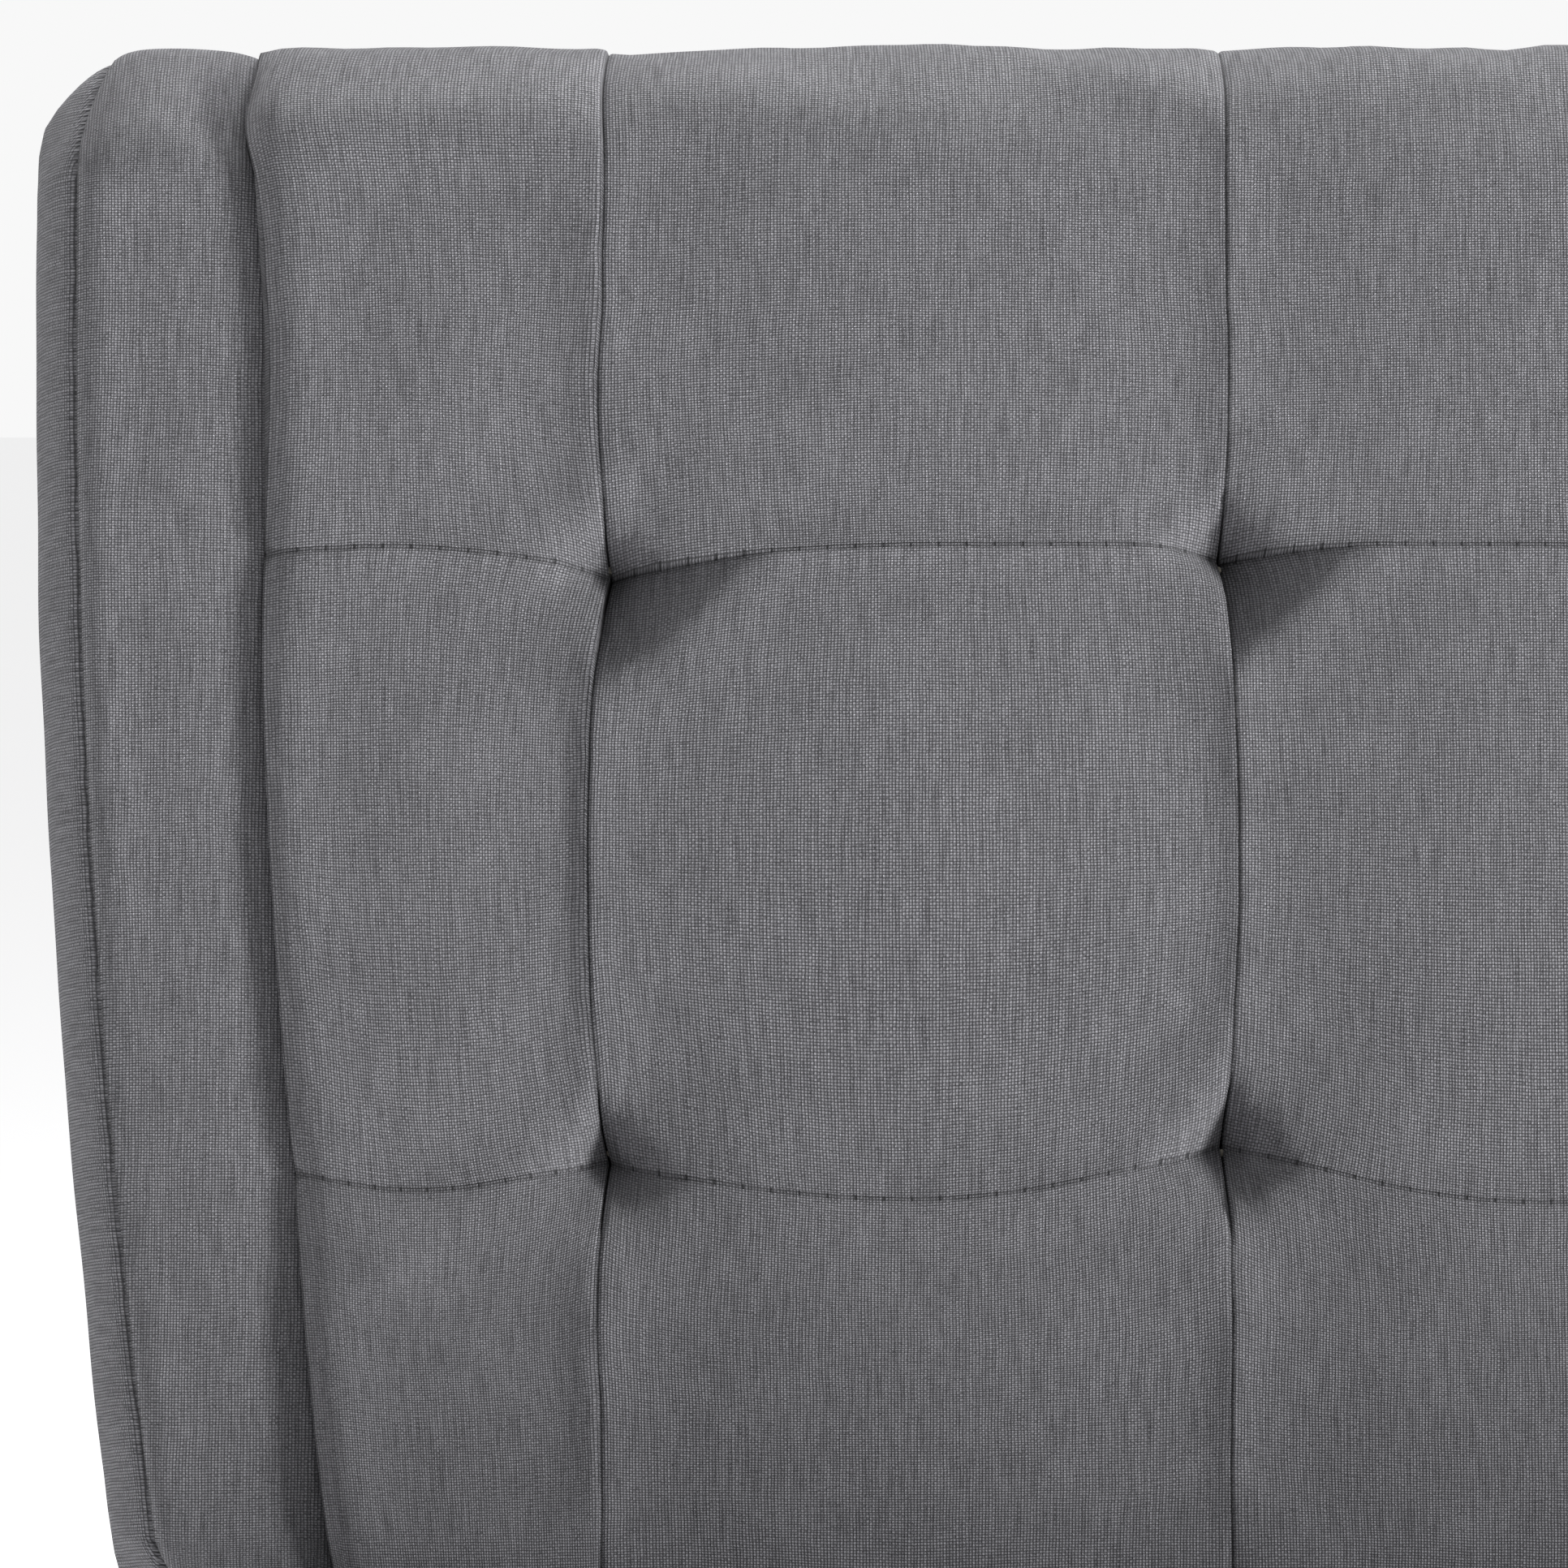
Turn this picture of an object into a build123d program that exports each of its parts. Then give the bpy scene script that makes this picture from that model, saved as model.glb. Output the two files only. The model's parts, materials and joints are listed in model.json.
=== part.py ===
"""A click-clack daybed: a square-tufted seat panel and a matching back panel on a low wooden base.

The two panels share one construction. Each is a wooden frame with sinuous springs, a felt pad, a foam
core, a tufted top pad, a padded band and a gusset along both sides, and a cover under the frame. They
are joined by two ratchet hinges, and the back drops from upright to level with the seat.

Row frame: +X to the right as seen from the front, +Y to the rear, +Z up. The origin is on the floor,
under the middle of the daybed as it stands with its back upright. Millimetres.

Panel frame: X as above, Y (called v) runs from the hinge edge to the far edge, and Z (called w) runs
from the underside to the tufted face. Both panels are drawn like this and then placed.
"""

import os
from math import cos, radians, sin, sqrt

from build123d import *

os.makedirs("parts", exist_ok=True)

# ---------------------------------------------------------------- driving dimensions
widest_half = 955.0  # half of the length of the daybed, at the widest place of a panel
side_radius = 3400.0  # the sides curve in towards the hinge edge on this radius
straight_side = 75.0  # the length of side, next to the far edge, that is straight
far_corner = 45.0  # plan radius of the two far corners
hinge_corner = 46.0  # plan radius of the two corners beside the hinge edge
roll_radius = 55.0  # the tufted face rolls over the far edge on this radius
hinge_roll = 40.0  # and over the hinge edge on this one
under_radius = 10.0  # radius along the underside's edges
side_round = 16.0  # radius between the tufted face and the sides

seat_length, seat_thickness = 580.0, 150.0
back_length, back_thickness = 575.0, 140.0
seat_top = 405.0  # floor to the top of the seat
recline_travel = 75.0  # degrees from upright to flat, so the back leans 15 degrees at rest

panel_gap = 24.0  # between the two panels when they lie flat
half_gap = panel_gap / 2

tuft_pitch = 216.0  # between the tufts of a row
tuft_row_pitch = 208.0  # between the two rows
tuft_far_row = 190.0  # from the far edge to the nearer row
tufts_each_side = 4  # tufts of a row on each side of the middle

band_width = 76.0  # side band with its gusset
gusset_thickness = 4.0
cover_thickness = 2.0
pad_depth = roll_radius  # the tufted pad holds the whole roll

board = 28.0  # width of the frame's boards
frame_height = 45.0
frame_inset = 18.0  # from the panel's edge to the outside of its frame
frame_half = 905.0  # half of the frame's length
frame_low = cover_thickness
frame_high = frame_low + frame_height
stretcher_width = 24.0

spring_wire = 1.9  # radius of the wire
spring_turn = 13.0  # radius of each turn
spring_run = 28.0  # straight run between two turns
spring_level = frame_high + 2.5
felt_low, felt_high = frame_high + 7.0, frame_high + 11.0
tie_radius, tie_hole = 1.2, 1.5
tie_washer, tie_washer_thickness = 8.0, 1.6
tuft_depth = 42.0  # from the face to the bottom of a tuft

hinge_x = 432.0
arm_thickness = 5.0
arm_boss = 18.0  # radius of an arm around the pivot
arm_foot = 14.0  # half of the height of its foot
pivot_radius, pivot_hole = 5.0, 5.05
ratchet_radius = 17.5
ratchet_thickness = 4.0
ratchet_stops = (0.0, 35.0, 75.0)  # degrees of recline at which the pawl finds a notch
notch_width, notch_depth = 5.2, 3.0
nose_width = 4.0
nose_gap = 0.4  # between the lifted pawl's nose and the rim
pin_radius = 3.0
bolt_radius, bolt_hole = 3.0, 3.1

runner_x = 775.0
runner_width, runner_height = 60.0, 55.0
leg_top_radius, leg_foot_radius = 24.0, 14.0
plate_side, plate_thickness = 58.0, 3.0
screw_length = 18.0  # of a plate screw in the wood
glide_radius, glide_thickness = 13.0, 4.0
bumper_radius = 14.0
clearance = 0.3

# ---------------------------------------------------------------- values that follow from them
pivot_v = -half_gap
seat_pivot_w = seat_thickness - hinge_roll
back_pivot_w = back_thickness - hinge_roll
pivot_z = seat_top - hinge_roll
seat_under = seat_top - seat_thickness  # the seat panel lies on the base at this height
travel_cos, travel_sin = cos(radians(recline_travel)), sin(radians(recline_travel))

front_reach = half_gap + seat_length  # from the pivot to the front edge
rear_reach = (  # from the pivot to the rearmost point of the leaning back
    (half_gap + back_length - under_radius) * travel_cos
    + (back_pivot_w - under_radius) * travel_sin
    + under_radius
)
pivot_y = (front_reach - rear_reach) / 2
leg_front_y = pivot_y - 515.0
leg_rear_y = pivot_y + 205.0
runner_low = seat_under - runner_height
leg_height = runner_low - plate_thickness


# ---------------------------------------------------------------- small helpers
def block(x, y, z):
    """A box from its lowest and highest value along each axis."""
    size = [high - low for low, high in (x, y, z)]
    middle = [(low + high) / 2 for low, high in (x, y, z)]
    return Pos(*middle) * Box(*size)


def rod_x(radius, x, v, w):
    """A round bar along X, from x[0] to x[1]."""
    return Pos((x[0] + x[1]) / 2, v, w) * Rot(Y=90) * Cylinder(radius, x[1] - x[0])


def rod_z(radius, x, y, z):
    """A round bar along Z, from z[0] to z[1]."""
    return Pos(x, y, (z[0] + z[1]) / 2) * Cylinder(radius, z[1] - z[0])


def both_sides(shape):
    """The right-hand piece and its mirror image on the left."""
    return [shape, mirror(shape, about=Plane.YZ)]


def plate(points_and_radii, x):
    """A flat plate across X that runs through circles, each given as ((v, w), radius)."""
    made = None
    for (a, ra), (b, rb) in zip(points_and_radii, points_and_radii[1:]):
        circles = Pos(*a) * Circle(ra) + Pos(*b) * Circle(rb)
        link = make_hull(circles.edges())
        made = link if made is None else made + link
    return Pos(x[0], 0, 0) * extrude(Plane.YZ * made, x[1] - x[0])


def write(name, *shapes):
    """One STEP file for a node, which may hold several separate solids."""
    solids = [solid for shape in shapes for solid in shape.solids()]
    node = Compound(children=solids) if len(solids) > 1 else solids[0]
    export_step(node, f"parts/{name}.step")


# ---------------------------------------------------------------- one panel's geometry
def half_width(length, v):
    """Half of a panel's width at v, which shrinks towards the hinge edge."""
    away = max(0.0, length - straight_side - v)
    return widest_half - side_radius + sqrt(side_radius**2 - away**2)


def plan(length, inset, overrun=0.0):
    """The panel's outline from above, with its sides moved in by inset and its ends out by overrun."""
    wide_v = length - straight_side
    hinge_half = half_width(length, 0) - inset
    middle_half = half_width(length, wide_v / 2) - inset
    far_half = widest_half - inset
    edges = [
        ThreePointArc((hinge_half, 0), (middle_half, wide_v / 2), (far_half, wide_v)),
        Line((far_half, wide_v), (far_half, length + overrun)),
        Line((far_half, length + overrun), (-far_half, length + overrun)),
        Line((-far_half, length + overrun), (-far_half, wide_v)),
        ThreePointArc((-far_half, wide_v), (-middle_half, wide_v / 2), (-hinge_half, 0)),
    ]
    if overrun:
        edges.append(Line((-hinge_half, 0), (-hinge_half, -overrun)))
        edges.append(Line((-hinge_half, -overrun), (hinge_half, -overrun)))
        edges.append(Line((hinge_half, -overrun), (hinge_half, 0)))
    else:
        edges.append(Line((-hinge_half, 0), (hinge_half, 0)))
    return make_face(edges)


def raised(outline, height):
    """The outline drawn up from w = 0."""
    return extrude(outline, height, dir=(0, 0, 1))


def slab(length, thickness):
    """The whole panel as one body: its side profile met with its plan."""
    outline = plan(length, 0)
    outline = fillet([p for p in outline.vertices() if p.Y > length - 1], far_corner)
    outline = fillet([p for p in outline.vertices() if p.Y < 1], hinge_corner)
    profile = Pos(length / 2, thickness / 2) * Rectangle(length, thickness)
    for far, top, radius in ((0, 0, under_radius), (1, 0, under_radius), (0, 1, hinge_roll),
                             (1, 1, roll_radius)):
        here = [p for p in profile.vertices()
                if abs(p.X - far * length) < 0.01 and abs(p.Y - top * thickness) < 0.01]
        profile = fillet(here, radius)
    bar = extrude(Plane.YZ * profile, widest_half + 10, both=True)
    drum = raised(outline, thickness)
    drum = fillet(drum.edges().filter_by_position(Axis.Z, thickness - 0.1, thickness + 0.1), side_round)
    return bar & drum


def side_cut(length, inset):
    """Everything between the two sides moved in by inset, taller and longer than a panel."""
    return Pos(0, 0, -10) * raised(plan(length, inset, overrun=20.0), 200)


def tuft_places(length):
    """The tufts of a panel, as (x, v)."""
    rows = [length - tuft_far_row, length - tuft_far_row - tuft_row_pitch]
    columns = [(k + 0.5) * tuft_pitch for k in range(-tufts_each_side, tufts_each_side)]
    return [(x, v) for v in rows for x in columns]


def tie_holes(length, low, high):
    """Thin holes for the twine that pulls each tuft down."""
    holes = [rod_z(tie_hole, x, v, (low, high)) for x, v in tuft_places(length)]
    return Part() + holes


def hinge_pockets(thickness, depth, high_over_pivot):
    """Room around the hinges at the hinge edge, left free in foam and felt."""
    pivot_w = thickness - hinge_roll
    pocket = block((hinge_x - 24, hinge_x + 20), (-1, depth), (frame_low, pivot_w + high_over_pivot))
    return Part() + both_sides(pocket)


def frame_envelope(length):
    """The space that the wooden frame, springs and felt take under the foam."""
    return block((-frame_half, frame_half), (frame_inset, length - frame_inset), (-1, felt_high))


# ---------------------------------------------------------------- one panel's pieces
def frame_boards(length, stretcher_side):
    """Hinge rail, far rail, end boards and stretchers. The stretchers stand beside the hinge arms."""
    level = (frame_low, frame_high)
    inner = (frame_inset + board, length - frame_inset - board)
    hinge_rail = block((-frame_half, frame_half), (frame_inset, inner[0]), level)
    notch = block((hinge_x - 14, hinge_x + 14), (0, inner[0] + 1), (frame_low + 14, frame_high + 1))
    for n in both_sides(notch):
        hinge_rail -= n
    far_rail = block((-frame_half, frame_half), (inner[1], length - frame_inset), level)
    ends = both_sides(block((frame_half - board, frame_half), inner, level))
    faces = sorted(stretcher_side * (1 + arm_thickness + w) for w in (0, stretcher_width))
    stretchers = both_sides(block((hinge_x + faces[0], hinge_x + faces[1]), inner, level))
    stretchers.append(block((-stretcher_width / 2, stretcher_width / 2), inner, level))
    return hinge_rail, far_rail, ends, stretchers


def sinuous_spring(length):
    """A zigzag wire around x = 0, whose first and last runs lie along the middle of the two rails."""
    start, end = frame_inset + board / 2, length - frame_inset - board / 2
    turns = int((end - start) / (2 * spring_turn)) // 2 * 2
    reach = spring_run / 2
    first = (start + end) / 2 - turns * spring_turn
    runs = [start, *(first + turn * 2 * spring_turn for turn in range(turns + 1)), end]
    path = [Line((-reach, start), (reach, start))]
    for turn, (v, onward) in enumerate(zip(runs, runs[1:])):
        side = (-1) ** turn
        bulge = (side * (reach + (onward - v) / 2), (v + onward) / 2)
        path.append(ThreePointArc((side * reach, v), bulge, (side * reach, onward)))
        path.append(Line((side * reach, onward), (-side * reach, onward)))
    section = Plane(origin=(-reach, start, 0), z_dir=(1, 0, 0)) * Circle(spring_wire)
    return Pos(0, 0, spring_level) * sweep(section, path=Wire(path))


def spring_places():
    """One spring under each column of tufts."""
    return [(k + 0.5) * tuft_pitch for k in range(-tufts_each_side, tufts_each_side)]


def springs(length):
    one = sinuous_spring(length)
    return [Pos(x, 0, 0) * one for x in spring_places()]


def spring_clips(length):
    """Saddles that hold the first and last run of each spring down on the rails."""
    wire_ends = sinuous_spring(length).bounding_box()
    high = felt_low - 0.4
    made = []
    for x in spring_places():
        for v in (wire_ends.min.Y + spring_wire, wire_ends.max.Y - spring_wire):
            body = block((x - 6, x + 6), (v - 7, v + 7), (frame_high, high))
            channel = block((x - 7, x + 7), (v - spring_wire - 0.3, v + spring_wire + 0.3),
                            (frame_high - 1, spring_level + spring_wire + 0.3))
            made.append(body - channel)
    return made


def tuft_ties(length, thickness):
    """Twine with a washer under the felt, one for each tuft."""
    made = []
    for x, v in tuft_places(length):
        washer = rod_z(tie_washer, x, v, (felt_low - tie_washer_thickness, felt_low))
        made.append(washer + rod_z(tie_radius, x, v, (felt_low - 1, thickness - tuft_depth)))
    return made


def soft_pieces(length, thickness):
    """Tufted pad, foam core, felt, bands and gussets."""
    body = slab(length, thickness)
    between = side_cut(length, band_width)
    split = thickness - pad_depth
    above = block((-1100, 1100), (-50, length + 50), (split, thickness + 10))
    below = block((-1100, 1100), (-50, length + 50), (cover_thickness, split))
    pad = (body & between & above) - hinge_pockets(thickness, 27.0, 23.0)
    pad -= tie_holes(length, split - 1, thickness - tuft_depth + 0.5)
    core = (body & between & below) - frame_envelope(length) - hinge_pockets(thickness, 56.0, 23.0)
    core -= tie_holes(length, felt_high - 1, split + 1)
    felt = block((-frame_half + 30, frame_half - 30), (frame_inset + 6, length - frame_inset - 6),
                 (felt_low, felt_high))
    felt = felt - hinge_pockets(thickness, 56.0, 23.0) - tie_holes(length, felt_low - 1, felt_high + 1)
    inside = side_cut(length, gusset_thickness)
    span = block((-1100, 1100), (hinge_corner + 8, length - far_corner - 8),
                 (cover_thickness, thickness - 22))
    shell = (body - inside) & span
    side = (body - between - frame_envelope(length) - shell) & block(
        (-1100, 1100), (-50, length + 50), (cover_thickness, thickness + 10))
    right_half = block((0, 1200), (-50, length + 50), (-10, thickness + 20))
    band, gusset = side & right_half, shell & right_half
    return {
        "tufted_pad": [pad],
        "foam_core": [core],
        "felt_pad": [felt],
        "side_band_left": [mirror(band, about=Plane.YZ)],
        "side_band_right": [band],
        "side_gusset_left": [mirror(gusset, about=Plane.YZ)],
        "side_gusset_right": [gusset],
    }


def under_cover(length, bolt_places=()):
    """The fabric that closes the underside."""
    sheet = raised(plan(length, 14.0), cover_thickness)
    sheet &= block((-1100, 1100), (14, length - 14), (-1, cover_thickness + 1))
    for x, v in bolt_places:
        sheet -= rod_z(4.3, x, v, (-1, cover_thickness + 1))
    return sheet


# ---------------------------------------------------------------- hinges, in a panel's frame
def arm(pivot_w, x):
    """A flat steel arm: foot along the stretcher, knee, and boss around the pivot."""
    foot_w = frame_low + 22.0
    outline = [((pivot_v, pivot_w), arm_boss), ((60.0, foot_w), arm_foot), ((185.0, foot_w), arm_foot)]
    body = plate(outline, x)
    body -= rod_x(pivot_hole, (x[0] - 1, x[1] + 1), pivot_v, pivot_w)
    for v in arm_bolt_places():
        body -= rod_x(bolt_hole, (x[0] - 1, x[1] + 1), v, foot_w)
    return body


def arm_bolt_places():
    return (80.0, 130.0, 180.0)


def arm_bolts(side):
    """Through bolts that clamp an arm to its stretcher. side is 1 where the stretcher is outboard."""
    foot_w = frame_low + 22.0
    arm_face = side * 1.0
    wood_face = side * (1.0 + arm_thickness + stretcher_width)
    made = []
    for v in arm_bolt_places():
        ends = sorted((arm_face, wood_face))
        shank = rod_x(bolt_radius, (hinge_x + ends[0], hinge_x + ends[1]), v, foot_w)
        head = sorted((wood_face, wood_face + side * 4.0))
        cap = rod_x(6.0, (hinge_x + head[0], hinge_x + head[1]), v, foot_w)
        made.append(shank + cap)
    return made


def bolt_bores(side):
    foot_w = frame_low + 22.0
    ends = sorted((0.0, side * (arm_thickness + stretcher_width + 2.0)))
    return [rod_x(bolt_hole, (hinge_x + ends[0], hinge_x + ends[1]), v, foot_w) for v in arm_bolt_places()]


seat_arm_x = (hinge_x + 1.0, hinge_x + 1.0 + arm_thickness)
back_arm_x = (hinge_x - 1.0 - arm_thickness, hinge_x - 1.0)
ratchet_x = (back_arm_x[0] - ratchet_thickness, back_arm_x[0])
pawl_x = (ratchet_x[0], ratchet_x[1] - 0.5)
pawl_pivot = (22.0, -24.0)  # from the hinge pivot, towards the seat and down
nose_angle = -98.0  # where the pawl's nose meets the rim, seen in the seat's frame


def about_pivot(point, pivot_w):
    return point[0] + pivot_v, point[1] + pivot_w


def ratchet_plate():
    """A notched disc on the back arm. Drawn in the back panel's frame, as it is when the back is flat."""
    disc = Circle(ratchet_radius) - Circle(pivot_hole)
    for stop in ratchet_stops:
        # In the back's frame the notch that serves a stop turns with the distance left to flat.
        angle = 180.0 - (nose_angle + recline_travel - stop)
        tooth = Rot(Z=angle) * Pos(ratchet_radius, 0) * Rectangle(2 * notch_depth, notch_width)
        disc -= tooth
    made = Pos(ratchet_x[0], pivot_v, back_pivot_w) * extrude(Plane.YZ * disc, ratchet_thickness)
    return made


def pawl():
    """Lifted clear of the rim. Drawn in the seat panel's frame."""
    rim = ratchet_radius + nose_gap
    direction = (cos(radians(nose_angle)), sin(radians(nose_angle)))
    nose = Rot(Z=nose_angle) * Pos(rim + 3.0, 0) * Rectangle(6.0, nose_width)
    shoulder = ((rim + 6.0) * direction[0], (rim + 6.0) * direction[1])
    lever = make_hull((Pos(*pawl_pivot) * Circle(6.5) + Pos(*shoulder) * Circle(3.0)).edges())
    keep_off = Circle(rim)
    shape = (nose + lever) - keep_off - Pos(*pawl_pivot) * Circle(pin_radius + 0.05)
    return Pos(pawl_x[0], pivot_v, seat_pivot_w) * extrude(Plane.YZ * shape, pawl_x[1] - pawl_x[0])


def pawl_pin():
    """A shouldered pin on the seat arm, with a head that keeps the pawl and its spring on."""
    v, w = about_pivot(pawl_pivot, seat_pivot_w)
    shoulder = rod_x(5.0, (pawl_x[1] + 0.3, seat_arm_x[0]), v, w)
    shank = rod_x(pin_radius, (pawl_x[0] - 6.0, seat_arm_x[0]), v, w)
    return shoulder + shank + rod_x(5.5, (pawl_x[0] - 7.4, pawl_x[0] - 6.0), v, w)


def pawl_spring():
    """A small torsion spring of three turns around the pin, between the pawl and the pin's head."""
    v, w = about_pivot(pawl_pivot, seat_pivot_w)
    wire, turn = 0.6, 4.2
    coil = Helix(pitch=1.5, height=4.0, radius=turn)
    section = Plane(origin=(turn, 0, 0), z_dir=(0, 1, 0)) * Circle(wire)
    spring = sweep(section, path=coil, is_frenet=True)
    return Pos(pawl_x[0] - 5.0, v, w) * Rot(Y=90) * spring


def pivot_bolt():
    v, w = pivot_v, seat_pivot_w
    head = rod_x(9.0, (seat_arm_x[1], seat_arm_x[1] + 5.0), v, w)
    shank = rod_x(pivot_radius, (ratchet_x[0] - 8.0, seat_arm_x[1] + 1.0), v, w)
    return head + shank


def pivot_nut():
    v, w = pivot_v, seat_pivot_w
    nut = extrude(Plane.YZ * RegularPolygon(9.0, 6), 6.5)
    return Pos(ratchet_x[0] - 7.0, v, w) * nut - rod_x(pivot_radius, (0, 2 * hinge_x), v, w)


def pivot_washer():
    v, w = pivot_v, seat_pivot_w
    ring = rod_x(14.0, (back_arm_x[1] + 0.1, seat_arm_x[0] - 0.1), v, w)
    return ring - rod_x(pivot_hole, (0, 2 * hinge_x), v, w)


# ---------------------------------------------------------------- placing
def on_back(shape):
    """From the panel frame to the back as it stands upright."""
    return Pos(0, pivot_y, pivot_z) * Rot(X=recline_travel) * Pos(0, half_gap, -back_pivot_w) * shape


def on_seat(shape):
    """From the panel frame to the seat, whose far edge is the front one."""
    return Pos(0, pivot_y - half_gap, pivot_z - seat_pivot_w) * mirror(shape, about=Plane.XZ)


# ---------------------------------------------------------------- the base
def base_pieces():
    # Each runner reaches past the seat's front bolts, which go up through it.
    y = (min(bolt_y for _, bolt_y in seat_bolt_places()) - 18.0, pivot_y + 240.0)
    z = (runner_low, seat_under)
    half = runner_width / 2
    pieces = {}
    for name, x in (("left", -runner_x), ("centre", 0.0), ("right", runner_x)):
        runner = block((x - half, x + half), y, z)
        for leg_y in (leg_front_y, leg_rear_y):
            runner -= rod_z(4.1, x, leg_y, (runner_low - 1, runner_low + 32))
        for bolt_x, bolt_y in seat_bolt_places():
            if abs(bolt_x - x) < half:
                runner -= rod_z(4.3, bolt_x, bolt_y, (runner_low - 1, seat_under + 1))
        for leg_y in (leg_front_y, leg_rear_y):
            for sx, sy in plate_screw_offsets():
                runner -= rod_z(2.0, x + sx, leg_y + sy, (runner_low - 1, runner_low + screw_length))
        pieces[f"base_{name}_runner"] = [runner]
    rail_z = (runner_low + 5.0, seat_under)
    pieces["base_cross_rails"] = [
        rail
        for at in (pivot_y - 510.0, y[1] - 75.0)
        for rail in both_sides(block((half, runner_x - half), (at, at + 28.0), rail_z))
    ]
    bumper_y = y[1] - 61.0
    bumper_z = (seat_under, seat_top - back_thickness - clearance)
    pieces["back_rest_bumpers"] = [
        rod_z(bumper_radius, x, bumper_y, bumper_z) for x in (-runner_x, 0.0, runner_x)
    ]
    return pieces


def seat_bolt_places():
    """Bolts up through the runners into the seat frame's rails."""
    rear = pivot_y - half_gap - frame_inset - board / 2
    front = pivot_y - half_gap - seat_length + frame_inset + board / 2
    return [(x, y) for x in (-runner_x, 0.0, runner_x) for y in (rear, front)]


def seat_bolts():
    made = []
    for x, y in seat_bolt_places():
        head = rod_z(8.0, x, y, (runner_low - 5.0, runner_low))
        made.append(head + rod_z(4.0, x, y, (runner_low - 1, seat_under + 28.0)))
    return made


def turned_leg(x, y):
    """A tapered round leg on a felt glide, with a small rounded top edge."""
    low, high = glide_thickness, leg_height
    leg = Pos(x, y, (low + high) / 2) * Cone(leg_foot_radius, leg_top_radius, high - low)
    leg = fillet(leg.edges().filter_by(GeomType.CIRCLE), 1.5)
    return leg - rod_z(4.1, x, y, (high - 42.0, high + 1))


def leg_places():
    return {
        "front_left": (-runner_x, leg_front_y),
        "front_right": (runner_x, leg_front_y),
        "rear_left": (-runner_x, leg_rear_y),
        "rear_right": (runner_x, leg_rear_y),
        "centre_front": (0.0, leg_front_y),
        "centre_rear": (0.0, leg_rear_y),
    }


def mount_plate(x, y):
    half = plate_side / 2
    made = block((x - half, x + half), (y - half, y + half), (leg_height, runner_low))
    made -= rod_z(4.1, x, y, (leg_height - 1, runner_low + 1))
    for sx, sy in plate_screw_offsets():
        made -= rod_z(2.2, x + sx, y + sy, (leg_height - 1, runner_low + 1))
    return made


def plate_screw_offsets():
    reach = plate_side / 2 - 7.0
    return [(sx * reach, sy * reach) for sx in (-1, 1) for sy in (-1, 1)]


def plate_screws(x, y):
    made = []
    for sx, sy in plate_screw_offsets():
        head = rod_z(3.6, x + sx, y + sy, (leg_height - 2.0, leg_height))
        made.append(head + rod_z(2.0, x + sx, y + sy, (leg_height - 1, runner_low + screw_length)))
    return made


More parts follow.
